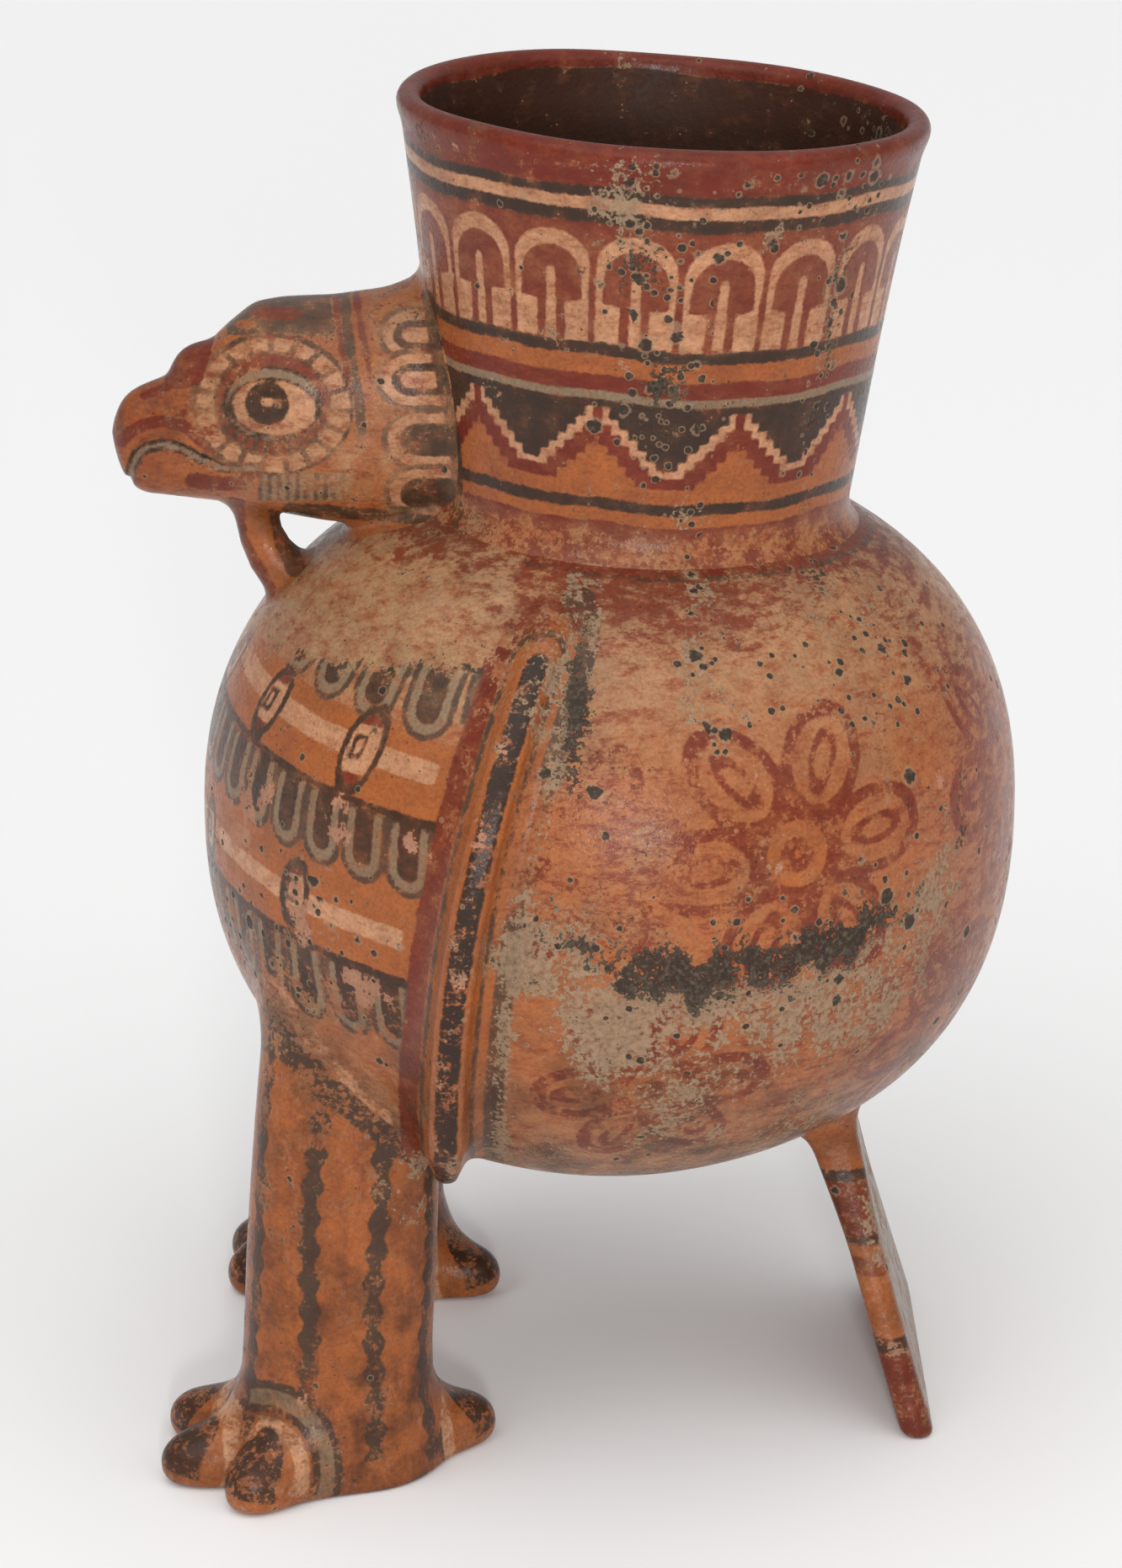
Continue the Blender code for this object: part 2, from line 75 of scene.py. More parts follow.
ANKLE_SWELL = 0.0018
FOOT_FULLNESS = 2.3
TOE_OUT = math.radians(17.0)
TOE_SPREAD = math.radians(35.0)
TOE_REACH = 0.0540
RIGHT_TOE_REACH = 0.0430
OUTER_TOE_REACH = 0.0465
SPUR_REACH = 0.0490
TOE_HALF_WIDTH = 0.0128
TOE_MEAN_HALF = 0.0105
TOE_HEIGHT = 0.0270
TOE_DROP = 0.0110
SOLE_ROUNDING = 0.0024
TAIL_FOOT_X = 0.1060
TAIL_SLOPE = 0.300
TAIL_THICKNESS = 0.0098
TAIL_ROOT_SWELL = 0.0030
TAIL_ROUNDING = 0.0050
TAIL_FOOT_HALF_WIDTH = 0.0520
TAIL_TOP_HALF_WIDTH = 0.0260
TAIL_TOP_Z = 0.1020
WING_TOP_Z = 0.2760
WING_TIP_Z = 0.1070
WING_PROJECTION = 0.0140
WING_HANG = 0.0130
WING_FADE = 0.0160
WING_ROOT = 0.0300
WING_EDGE = 0.0086
WING_TOP_X = -0.0015
WING_SWEEP = 0.0335

# Fillet, bite into the neighbour and how far out the fillet may run, for each luted member
HEAD_JOINT = (0.0060, 0.0040, 0.0069)
KNOB_JOINT = (0.0030, 0.0030, 0.0036)
STRAP_JOINT = (0.0042, 0.0034, 0.0050)
WING_JOINT = (0.0072, 0.0034, 0.0084)
LEG_JOINT = (0.0100, 0.0034, 0.0115)
TOE_JOINT = (0.0110, 0.0040, 0.0124)
TAIL_JOINT = (0.0130, 0.0034, 0.0148)
# How far a fillet's end is sunk under its neighbour's skin
SINK = 0.00035

# How fine the skins are: columns round and the step between points
BODY_COLUMNS = 560
BODY_STEP = 0.00135
INNER_FACTOR = 3.5
NECK_COLUMNS = 420
NECK_STEP = 0.00115
HEAD_STEP = 0.0010
KNOB_STEP = 0.0008
STRAP_STEP = 0.0010
TAIL_STEP = 0.0013
WING_STEP = 0.0013
LEG_STEP = 0.0014
TOE_STEP = 0.0010

# Camera that took the photograph, and the millimetres that one of its pixels covers
VIEW_ELEVATION = math.radians(20.0)
VIEW_DISTANCE = 1.250
VIEW_TARGET = (-0.00235, 0.0, 0.1928)
VIEW_LENS = 96.19
FOCAL_PIXELS = 4975.0
PICTURE_MIDDLE = (666.0, 931.0)
PIXEL = 0.25


def ease(value, low, high):
    t = np.clip((value - low) / (high - low), 0.0, 1.0)
    return t * t * (3.0 - 2.0 * t)


def bell(value, half):
    return np.exp(-(value / half) ** 2)


def smooth_min(a, b, reach):
    h = np.clip(0.5 + 0.5 * (b - a) / reach, 0.0, 1.0)
    return b + (a - b) * h - reach * h * (1.0 - h)


def smooth_max(a, b, reach):
    return -smooth_min(-a, -b, reach)


def cut(*shapes):
    return np.maximum.reduce(shapes)


def smooth_table(stations, spread=0.0016, count=400):
    """A curve through (position, amount) stations, in millimetres, with its corners rounded off."""
    at, amount = np.array(stations).T * MM
    x = np.linspace(at[0], at[-1], count)
    y = np.interp(x, at, amount)
    step = x[1] - x[0]
    half = int(3.0 * spread / step) + 1
    kernel = np.exp(-0.5 * (np.arange(-half, half + 1) * step / spread) ** 2)
    kernel /= kernel.sum()
    start = 2.0 * y[0] - y[1:half + 1][::-1]
    end = 2.0 * y[-1] - y[-half - 1:-1][::-1]
    return x, np.convolve(np.concatenate([start, y, end]), kernel, mode="valid")


def gradient(solid, points, nudge=0.0003):
    steps = np.eye(3) * nudge
    return np.stack([(solid(points + s) - solid(points - s)) / (2.0 * nudge) for s in steps], axis=-1)


def to_distance(field, points):
    """First-order distance of a field that has no even slope."""
    slope = np.linalg.norm(gradient(field, points, 0.0004), axis=1)
    return field(points) / np.maximum(slope, TINY)


def round_size(power, *shares):
    """One on the skin of an oval that is squared off by its power, less inside."""
    return sum(np.abs(share) ** power for share in shares) ** (1.0 / power)


def oval_distance(a, b, half_a, half_b, power):
    a = np.maximum(np.abs(a) / half_a, TINY)
    b = np.maximum(np.abs(b) / half_b, TINY)
    size = round_size(power, a, b)
    slope = np.hypot(a ** (power - 1.0) / half_a, b ** (power - 1.0) / half_b)
    return (size - 1.0) / (size ** (1.0 - power) * slope)


def segment_distance(x, z, line):
    """Distance in a plane to a broken line, and where on it, from 0 to 1."""
    best = np.full(x.shape, 1e3)
    where = np.zeros(x.shape)
    for k, (start, end) in enumerate(zip(line, line[1:])):
        dx = end[0] - start[0]
        dz = end[1] - start[1]
        t = np.clip(((x - start[0]) * dx + (z - start[1]) * dz) / (dx * dx + dz * dz), 0.0, 1.0)
        d = np.hypot(x - start[0] - t * dx, z - start[1] - t * dz)
        where = np.where(d < best, (k + t) / (len(line) - 1.0), where)
        best = np.minimum(d, best)
    return best, where


# Solids as distances


def globe(points, grow=0.0):
    x, y, z = points.T
    out = np.hypot(x - BODY_CENTRE_X, y)
    return oval_distance(out, z - BODY_CENTRE_Z, BODY_RADIUS + grow, BODY_HALF_HEIGHT + grow, BODY_FULLNESS)


def neck_radius(height):
    share = height / NECK_HEIGHT
    waist = NECK_WAIST * np.sin(np.pi * np.clip(share, 0.0, 1.0))
    return NECK_FOOT_RADIUS + (RIM_RADIUS - NECK_FOOT_RADIUS) * share - waist


def neck_place(radius, angle, height):
    across = radius * np.cos(angle)
    x = NECK_FOOT_X + across * math.cos(NECK_LEAN) + height * math.sin(NECK_LEAN)
    z = NECK_FOOT_Z + height * math.cos(NECK_LEAN) - across * math.sin(NECK_LEAN)
    return np.stack([x, radius * np.sin(angle), z], axis=-1)


def neck_polar(points):
    """How far a point lies from the leaning axis, towards the tail and in all, and how high."""
    x, y, z = points.T
    across = (x - NECK_FOOT_X) * math.cos(NECK_LEAN) - (z - NECK_FOOT_Z) * math.sin(NECK_LEAN)
    height = (x - NECK_FOOT_X) * math.sin(NECK_LEAN) + (z - NECK_FOOT_Z) * math.cos(NECK_LEAN)
    return across, np.hypot(across, y), height


def neck_column(points):
    radius, height = neck_polar(points)[1:]
    return (radius - neck_radius(height)) * 0.99


# The head's outline from the beak's front backwards, and the gape, in millimetres
HEAD_TOP = (
    (0, 14.9), (1.6, 21.8), (5.7, 26), (10.3, 28.3), (16, 30.4), (25, 36.7), (34, 45.5), (42, 51.9),
    (50, 53.3), (65, 53.9), (80, 56.1), (89.7, 59.9), (109.7, 61.9),
)
HEAD_UNDER = (
    (0, 13.1), (0.8, 6), (4.7, -1.1), (9.2, -3.7), (16, -4.1), (32.3, -5.8), (61.2, -10.8),
    (89.7, -13.8), (109.7, -15.3),
)
HEAD_WIDTH = (
    (0, 1), (1.6, 5), (5.7, 8.5), (16, 12), (28, 15.5), (42, 22), (55, 25.8), (70, 26.2), (109.7, 25),
)
MOUTH_SHAPE = (
    (3, -30), (4.8, -11), (7.2, -0.5), (10, 3.3), (14, 4.5), (19, 3.6), (26, 0.4), (32, -2), (40, -2.8),
)
HEAD_CURVES = [smooth_table(stations) for stations in (HEAD_TOP, HEAD_UNDER, HEAD_WIDTH)]
MOUTH_LINE = [(BEAK_FRONT_X + a * MM, MOUTH_Z + b * MM) for a, b in MOUTH_SHAPE]
# Where the beak's base crosses each height, from the beak's front
BEAK_BASE = ((0.2500, 0.2945, 0.3125, 0.3292, 0.3700), (0.0400, 0.0400, 0.0315, 0.0270, 0.0250))
# The strap's middle line, with its swell at each place
STRAP_PATH = (
    (-0.0935, 0.2900, 1.30), (-0.0925, 0.2830, 1.12), (-0.0912, 0.2765, 1.00), (-0.0900, 0.2705, 1.00),
    (-0.0872, 0.2645, 1.08), (-0.0828, 0.2590, 1.22), (-0.0770, 0.2535, 1.40),
)


def head_field(points):
    x, y, z = points.T
    along = x - BEAK_FRONT_X
    high, low, half = (np.interp(along, *curve) for curve in HEAD_CURVES)
    ahead = np.maximum(-along, 0.0)
    half = np.maximum(half - ahead, 0.0004)
    tall = np.maximum((high - low) / 2.0 - ahead, 0.0004)
    size = round_size(HEAD_FULLNESS, y / half, (z - HEAD_BASE_Z - (high + low) / 2.0) / tall)
    return (size - 1.0) * np.minimum(half, tall)


def head(points):
    """The head with its gape pressed in and the eye's swell."""
    x, y, z = points.T
    d = smooth_max(to_distance(head_field, points), BEAK_FRONT_X - x, 0.0012)
    gape, where = segment_distance(x, z, MOUTH_LINE)
    d = d + GAPE_DEPTH * bell(gape, GAPE_DEPTH) * (where < 0.98)
    return d - EYE_SWELL * bell(np.hypot(x - EYE_X, z - EYE_Z), EYE_REACH)


def knob(points):
    x, y, z = points.T
    c = math.cos(KNOB_TILT)
    s = math.sin(KNOB_TILT)
    along = (x - KNOB_X) * c + (z - KNOB_Z) * s
    up = (z - KNOB_Z) * c - (x - KNOB_X) * s
    size = round_size(2.0, along / KNOB_HALF[0], y / KNOB_HALF[1], up / KNOB_HALF[2])
    return (size - 1.0) * KNOB_MEAN_HALF


def strap(points):
    x, y, z = points.T
    gap, where = segment_distance(x, z, STRAP_PATH)
    last = len(STRAP_PATH) - 1.0
    swell = np.interp(where * last, np.arange(len(STRAP_PATH)), [row[2] for row in STRAP_PATH])
    half_depth = STRAP_HALF[0] * swell
    return (round_size(2.4, gap / half_depth, y / (STRAP_HALF[1] * swell)) - 1.0) * half_depth


def wing_line(z):
    """How far down the ridge a height is, from 0 to 1, and where the ridge runs there."""
    share = np.clip((WING_TOP_Z - z) / (WING_TOP_Z - WING_TIP_Z), -0.2, 1.2)
    return share, WING_TOP_X - WING_SWEEP * np.sin(np.pi / 2.0 * np.clip(share * 1.12, 0.0, 1.0)) ** 0.8


def wing(points, side):
    x, y, z = points.T
    share, sweep = wing_line(z)
    height = np.clip(np.abs(z - BODY_CENTRE_Z) / BODY_HALF_HEIGHT, 0.0, 0.999)
    girth = BODY_RADIUS * (1.0 - height ** BODY_FULLNESS) ** (1.0 / BODY_FULLNESS)
    flank = np.sqrt(np.maximum(girth ** 2 - (sweep - BODY_CENTRE_X) ** 2, 0.0))
    rise = WING_PROJECTION * (0.55 + 0.45 * ease(share, 0.05, 0.45))
    hang = WING_HANG * ease(share, 0.72, 1.0)
    fade = WING_FADE * (1.0 - ease(share, -0.05, 0.05))
    depth = flank + rise + hang - fade - side * y
    tip = 1.0 - 0.45 * ease(share, 0.9, 1.0)
    half = WING_EDGE / 2.0 * (0.72 + 0.28 * ease(share, 0.0, 0.2)) * tip
    half = half + 0.20 * np.maximum(depth, 0.0)
    d = smooth_max(np.abs(x - sweep) - half, -depth, 0.0028)
    d = cut(d, depth - WING_ROOT, z - WING_TOP_Z - 0.004)
    return smooth_max(d * 0.96, WING_TIP_Z - z, 0.0040)


def leg_place(points, side):
    """Where a point lies round the leg's bent axis."""
    x, y, z = points.T
    lean = np.clip(z / LEG_TOP_Z, 0.0, 1.2) ** 2.2
    x = x - LEG_FOOT_X - (LEG_TOP_X - LEG_FOOT_X) * lean
    return x, y - side * (LEG_FOOT_Y + (LEG_TOP_Y - LEG_FOOT_Y) * lean)


def leg(points, side):
    z = points[:, 2]
    ankle = ANKLE_SWELL * (1.0 - ease(z, 0.0, 0.045))
    shape = 1.0 - 0.08 * ease(np.clip(z / LEG_TOP_Z, 0.0, 1.2), 0.35, 1.0)
    halves = (LEG_HALF_DEPTH * shape + ankle, LEG_HALF_WIDTH * shape + ankle)
    return oval_distance(*leg_place(points, side), *halves, FOOT_FULLNESS)


def toe_ahead(side, turn):
    away = math.pi - side * turn
    return math.cos(away), math.sin(away)


def toe_place(points, side, turn):
    """Where a point lies along a toe from the leg's axis, and to its side."""
    ahead_x, ahead_y = toe_ahead(side, turn)
    dx = points[:, 0] - LEG_FOOT_X
    dy = points[:, 1] - side * LEG_FOOT_Y
    return dx * ahead_x + dy * ahead_y, dy * ahead_x - dx * ahead_y


def toe(points, side, turn, reach):
    along, aside = toe_place(points, side, turn)
    share = along / reach
    front = np.maximum((share - 0.66) / 0.335, 0.0)
    back = np.maximum((0.20 - share) / 0.20, 0.0)
    high = TOE_HEIGHT - TOE_DROP * ease(share, 0.15, 0.85)
    half = TOE_HALF_WIDTH * (1.0 - 0.26 * ease(share, 0.45, 1.0))
    up = points[:, 2] - 0.36 * high
    up = np.where(up > 0.0, up / (0.64 * high), up / (0.55 * high))
    return (round_size(FOOT_FULLNESS, aside / half, up, front, back) - 1.0) * TOE_MEAN_HALF


def tail_place(points):
    """How far behind the tail's middle sheet a point lies, and half the width there."""
    x, y, z = points.T
    width = TAIL_FOOT_HALF_WIDTH + (TAIL_TOP_HALF_WIDTH - TAIL_FOOT_HALF_WIDTH) * z / TAIL_TOP_Z
    return x - TAIL_FOOT_X + TAIL_SLOPE * z, width


def tail(points):
    tilt, half_width = tail_place(points)
    z = points[:, 2]
    thick = TAIL_THICKNESS / 2.0 + TAIL_ROOT_SWELL * ease(z, 0.050, TAIL_TOP_Z)
    sides = (np.abs(points[:, 1]) - half_width) * 0.97
    d = smooth_max(np.abs(tilt * 0.958) - thick, sides, TAIL_ROUNDING)
    return smooth_max(d, -z, 0.0030)


def luted(d, base, fillet, bite, reach):
    """A member with a clay fillet on its neighbour, cut off inside that neighbour and past the fillet."""
    joined = smooth_min(d, base, fillet) + SINK * ease(d, 0.55 * fillet, reach)
    return cut(joined, -(base + bite), d - reach)


def floor_cut(d, points):
    return smooth_max(d, -points[:, 2], SOLE_ROUNDING)


def head_solid(points):
    return luted(head(points), np.minimum(neck_column(points), globe(points)), *HEAD_JOINT)


def knob_solid(points):
    return luted(knob(points), head(points), *KNOB_JOINT)


def strap_solid(points):
    return luted(strap(points), np.minimum(head(points), globe(points)), *STRAP_JOINT)


def tail_solid(points):
    return luted(tail(points), globe(points), *TAIL_JOINT)


def wing_solid(points, side):
    base = smooth_min(globe(points), leg(points, side), 0.0100)
    return luted(wing(points, side), np.minimum(base, neck_column(points)), *WING_JOINT)


def leg_solid(points, side):
    return floor_cut(luted(leg(points, side), globe(points), *LEG_JOINT), points)


def toe_solid(points, side, turn, reach):
    return floor_cut(luted(toe(points, side, turn, reach), leg(points, side), *TOE_JOINT), points)


# Skins

NET_BATCH = 400000


def surface_net(solid, low, high, step):
    """Points and quads of the skin where a distance field is zero, pulled on to that skin."""
    axes = [np.arange(a - 2.0 * step, b + 3.0 * step, step) for a, b in zip(low, high)]
    shape = [len(axis) for axis in axes]
    grid = np.stack(np.meshgrid(*axes, indexing="ij"), axis=-1).reshape(-1, 3)
    parts = np.array_split(grid, max(1, len(grid) // NET_BATCH))
    value = np.concatenate([solid(part) for part in parts]).reshape(shape)
    total = np.zeros([count + 1 for count in shape] + [3])
    number = np.zeros(total.shape[:3])
    rings = []
    for axis in range(3):
        u, v = [k for k in range(3) if k != axis]
        edge = np.argwhere(np.diff(value < 0.0, axis=axis))
        onward = np.arange(3) == axis
        first = value[tuple(edge.T)]
        second = value[tuple((edge + onward).T)]
        hit = edge + onward * (first / (first - second))[:, None]
        around = []
        for i, j in ((0, 0), (1, 0), (1, 1), (0, 1)):
            cell = edge.copy()
            cell[:, u] -= i
            cell[:, v] -= j
            padded = tuple(cell.T + 1)
            np.add.at(total, padded, hit - cell)
            np.add.at(number, padded, 1.0)
            around.append(padded)
        rings.append((around, (first < 0.0) != (axis == 1)))
    live = np.pad(number[1:-1, 1:-1, 1:-1] > 0, 1)
    index = np.full(number.shape, -1)
    index[live] = np.arange(live.sum())
    quads = []
    for around, outward in rings:
        ring = np.stack([index[cell] for cell in around], axis=-1)
        ring = np.where(outward[:, None], ring, ring[:, ::-1])
        quads.append(ring[ring.min(axis=1) >= 0])
    middle = np.argwhere(live) - 1 + total[live] / number[live][:, None]
    points = np.array([axis[0] for axis in axes]) + middle * step
    return pull(solid, points, step), np.concatenate(quads)


def pull(solid, points, step):
    for _ in range(3):
        slope = gradient(solid, points)
        size = np.maximum((slope ** 2).sum(axis=1), 0.05)
        move = solid(points)[:, None] * slope / size[:, None]
        length = np.linalg.norm(move, axis=1, keepdims=True)
        points = points - move * np.minimum(1.0, 0.5 * step / np.maximum(length, 1e-9))
    return points


def strips(grid):
    """Quads between the rows of a grid of points whose rows close on themselves."""
    tall, wide = grid.shape[:2]
    index = np.arange(tall * wide).reshape(tall, wide)
    right = np.roll(index, -1, axis=1)
    return index, right, np.stack([index[:-1], right[:-1], right[1:], index[1:]], axis=-1).reshape(-1, 4)


def hand(points):
    """The small unevenness of a hand-built pot, the same for every member."""
    x, y, z = points.T
    dx = 0.0005 * np.sin(27.0 * z + 21.0 * y + 0.7) + 0.0003 * np.sin(61.0 * y - 38.0 * z + 2.0)
    dy = 0.0005 * np.sin(24.0 * x - 31.0 * z + 1.9) + 0.0003 * np.sin(57.0 * x + 41.0 * z)
    dz = 0.0003 * np.sin(29.0 * x + 23.0 * y + 0.4) + 0.0001 * np.sin(66.0 * x - 52.0 * y)
    return points + np.stack([dx, dy, dz], axis=-1) * ease(z, 0.004, 0.060)[:, None]


def meridian(grow):
    """Radius, height over the middle and way along, up the globe's outline."""
    angle = np.linspace(-np.pi / 2.0, np.pi / 2.0, 4001)
    s = np.sin(angle)
    power = 2.0 / BODY_FULLNESS
    radius = np.abs(np.cos(angle)) ** power * (BODY_RADIUS + grow)
    height = np.sign(s) * np.abs(s) ** power * (BODY_HALF_HEIGHT + grow)
    along = np.concatenate([[0.0], np.cumsum(np.hypot(np.diff(radius), np.diff(height)))])
    return radius, height, along


SLIDE_FROM = 0.088
MOUTH_RADIUS = NECK_FOOT_RADIUS - 0.0032
MOUTH_SETBACK = NECK_SETBACK - 0.0002


def globe_rings(grow, step, turn):
    """Rings up the globe by even steps, the last ones sliding over to the mouth under the neck."""
    radius, height, along = meridian(grow)
    circle = np.array([np.cos(turn), np.sin(turn)])
    last = along[np.flatnonzero((height > 0.0) & (radius < SLIDE_FROM))[0]]
    rings = []
    for place in np.linspace(0.0, last, int(last / step) + 1)[1:]:
        x, y = np.interp(place, along, radius) * circle
        rings.append((x, y, np.full(len(turn), np.interp(place, along, height))))
    count = int((SLIDE_FROM - MOUTH_RADIUS) / step) + 1
    for k in range(1, count + 1):
        share = k / count
        x, y = (SLIDE_FROM + (MOUTH_RADIUS - SLIDE_FROM) * share) * circle
        x = x + MOUTH_SETBACK * ease(share, 0.0, 1.0)
        reach = np.minimum(np.hypot(x, y) / (BODY_RADIUS + grow), 1.0)
        z = (BODY_HALF_HEIGHT + grow) * (1.0 - reach ** BODY_FULLNESS) ** (1.0 / BODY_FULLNESS)
        rings.append((x, y, z))
    return np.moveaxis(np.array(rings), 1, 2) + (BODY_CENTRE_X, 0.0, BODY_CENTRE_Z)


def body_skin(columns, step):
    """The globe as a shell, with a fan of triangles at the bottom, outside and inside."""
    turn = np.linspace(0.0, math.tau, columns, endpoint=False)
    outer = globe_rings(0.0, step, turn)
    grid = np.concatenate([outer, globe_rings(-WALL, step * INNER_FACTOR, turn)[::-1]])
    index, right, quads = strips(grid)
    low = BODY_CENTRE_Z - BODY_HALF_HEIGHT
    poles = [(BODY_CENTRE_X, 0.0, low), (BODY_CENTRE_X, 0.0, low + WALL)]
    points = np.concatenate([grid.reshape(-1, 3), poles])
    pole = np.full(columns, index.size)
    start = np.stack([pole, right[0], index[0]], axis=-1)
    end = np.stack([pole + 1, index[-1], right[-1]], axis=-1)
    inside = np.arange(len(points)) >= len(outer) * columns
    inside[index.size] = False
    return points, quads.tolist() + start.tolist() + end.tolist(), inside


NECK_FILLET = 0.0075
FILLET_ROWS = 9
LIP_ROWS = 12
LIP_BEAD = 0.0008
LIP_SPREAD = 0.0036


def lip_bead(over):
    return LIP_BEAD * bell(over + 0.001, LIP_SPREAD)


def height_over_globe(radius, turn, grow):
    height = np.full(len(turn), -0.004)
    for _ in range(12):
        height = height - globe(neck_place(radius, turn, height), grow)
    return height


def neck_skin(columns, step):
    """The neck as a closed ring: foot fillet, outside, lip, inside."""
    turn = np.linspace(0.0, math.tau, columns, endpoint=False)
    rows = []
    for k in range(FILLET_ROWS, -1, -1):
        t = k / FILLET_ROWS * np.pi / 2.0
        flare = NECK_FILLET * (1.0 - math.cos(t))
        foot = height_over_globe(NECK_FOOT_RADIUS + flare, turn, 0.0)
        height = foot + NECK_FILLET * (1.0 - math.sin(t)) - 0.00025 * (k / FILLET_ROWS) ** 2
        rows.append((neck_radius(height) + flare, height))
    start = height_over_globe(NECK_FOOT_RADIUS, turn, 0.0) + NECK_FILLET
    stop = NECK_HEIGHT - NECK_WALL / 2.0
    count = int((NECK_HEIGHT - NECK_FILLET) / step)
    for k in range(1, count + 1):
        height = start + (stop - start) * k / count
        rows.append((neck_radius(height) + lip_bead(height - stop), height))
    outer_count = len(rows) * columns
    half = NECK_WALL / 2.0 + lip_bead(0.0) / 2.0
    middle = neck_radius(stop) - NECK_WALL + half
    wobble = 0.0002 * np.sin(3.0 * turn + 0.6) + 0.0001 * np.sin(7.0 * turn)
    for k in range(1, LIP_ROWS):
        t = np.pi * k / LIP_ROWS
        rows.append((middle + half * math.cos(t), stop + (half + wobble) * math.sin(t)))
    lowest = height_over_globe(NECK_FOOT_RADIUS - NECK_WALL, turn, -WALL) + 0.0006
    count = int(NECK_HEIGHT / (step * 2.0))
    for k in range(count + 1):
        height = stop + (lowest - stop) * k / count
        rows.append((neck_radius(height) - NECK_WALL, height))
    grid = np.array([neck_place(radius, turn, height) for radius, height in rows])
    index, right, quads = strips(grid)
    closing = np.stack([index[-1], right[-1], right[0], index[0]], axis=-1)
    points = grid.reshape(-1, 3)
    return points, quads.tolist() + closing.tolist(), np.arange(len(points)) >= outer_count


def cap_loops(faces, points, middle):
    """Closes the open rim of a patch with a fan to a point inside the member."""
    edges = dict.fromkeys((a, b) for face in faces for a, b in zip(face, face[1:] + face[:1]))
    follow = {}
    for a, b in edges:
        if (b, a) not in edges:
            follow.setdefault(a, []).append(b)
    extra = []
    added = []
    while follow:
        loop = [min(follow)]
        while True:
            ahead = follow[loop[-1]].pop()
            if not follow[loop[-1]]:
                del follow[loop[-1]]
            if ahead == loop[0]:
                break
            loop.append(ahead)
        hub = len(points) + len(added)
        added.append(points[loop].mean(axis=0) * 0.6 + middle * 0.4)
        extra.extend([b, a, hub] for a, b in zip(loop, loop[1:] + loop[:1]))
    return extra, added


def head_labels(points):
    """Says which faces belong to the head, 0, the upper beak, 1, and the lower beak, 2."""
    x, y, z = points.T
    ahead = x < BEAK_FRONT_X + np.interp(z, *BEAK_BASE)
    below = (z < np.interp(x, *zip(*MOUTH_LINE))) & (x > MOUTH_LINE[0][0])
    return np.where(ahead, np.where(below, 2, 1), 0)


# Slip painting

COLOURS = ("orange", "cream", "red", "stone", "grey", "dark", "brown")
# What every piece starts with: how orange its ground is, how its paint has aged, and how much painted shade
# darkens it
WASHES = {
    "coat": 0.6, "wear": 0.30, "fade": 0.15, "flush": 0.0, "grime": 0.25,
    "crust": 0.0, "deposit": 0.0, "spots": 0.010, "flake": 0.0, "upright": 0.0,
}
FAR = 8.0


class Slip:
    """Paint laid shape over shape: each colour keeps the distance to its own area, in millimetres."""

    def __init__(self, points, base=None, **washes):
        count = len(points)
        self.area = {colour: np.full(count, FAR) for colour in COLOURS}
        self.wash = {wash: np.full(count, amount) for wash, amount in WASHES.items()}
        self.put(**washes)
        if base:
            self.lay(base, np.full(count, -FAR))

    def lay(self, colour, *shapes):
        shape = cut(*shapes)
        for other, area in self.area.items():
            self.area[other] = np.minimum(area, shape) if other == colour else np.maximum(area, -shape)

    def bands(self, value, rows, *zones):
        for colour, low, high in rows:
            self.lay(colour, strip(value, low, high), *zones)

    def put(self, zone=True, **washes):
        for wash, amount in washes.items():
            self.wash[wash] = np.where(zone, amount, self.wash[wash])

    def add(self, **washes):
        for wash, amount in washes.items():
            self.wash[wash] = np.clip(self.wash[wash] + amount, 0.0, 1.0)

    def weather(self, x, y, patches):
        for wash, rows in patches.items():
            for at_x, at_y, half_x, half_y, amount in rows:
                self.add(**{wash: amount * patch(x - at_x, y - at_y, half_x, half_y)})

    def layers(self):
        made = {"slip_" + colour: np.clip(d, -FAR, FAR) for colour, d in self.area.items()}
        return made | self.wash


def strip(value, low, high):
    return np.abs(value - (low + high) / 2.0) - (high - low) / 2.0


def soft_strip(value, low, high):
    return ease(value, low - 1.0, low + 1.0) * (1.0 - ease(value, high - 1.0, high + 1.0))


def oval(x, y, half_x, half_y):
    return (np.hypot(x / half_x, y / half_y) - 1.0) * min(half_x, half_y)


def tongue(s, v, half, tip):
    """A strip that hangs straight down and ends in a round tip."""
    middle = tip + half
    return np.where(v > middle, np.abs(s) - half, np.hypot(s, v - middle) - half)


def arch(s, h, half, spring, rise):
    """A strip that stands straight up to its spring and ends in an oval crown."""
    return np.where(h < spring, np.abs(s) - half, (np.hypot(s / half, (h - spring) / rise) - 1.0) * rise)


def every(angle, phase, pitch):
    return np.mod(angle - phase + pitch / 2.0, pitch) - pitch / 2.0


def patch(x, y, half_x, half_y):
    return np.exp(-(x / half_x) ** 2 - (y / half_y) ** 2)


def picture(points):
    """Where a point of the bird's left side, or its mirror image, falls in the photograph."""
    c = math.cos(VIEW_ELEVATION)
    s = math.sin(VIEW_ELEVATION)
    dx = points[:, 0] - VIEW_TARGET[0]
    dy = -np.abs(points[:, 1]) - VIEW_TARGET[1]
    dz = points[:, 2] - VIEW_TARGET[2]
    scale = FOCAL_PIXELS / (VIEW_DISTANCE + dy * c - dz * s)
    return PICTURE_MIDDLE[0] + scale * dx, PICTURE_MIDDLE[1] - scale * (dy * s + dz * c)


def stroke(u, v, half, line):
    """A brush line through picture places, as millimetres."""
    return segment_distance(u, v, line)[0] * PIXEL - half


def picture_oval(u, v, place):
    """An oval given by its middle and its half sizes in the picture, as millimetres."""
    return oval(u - place[0], v - place[1], place[2], place[3]) * PIXEL


# Body

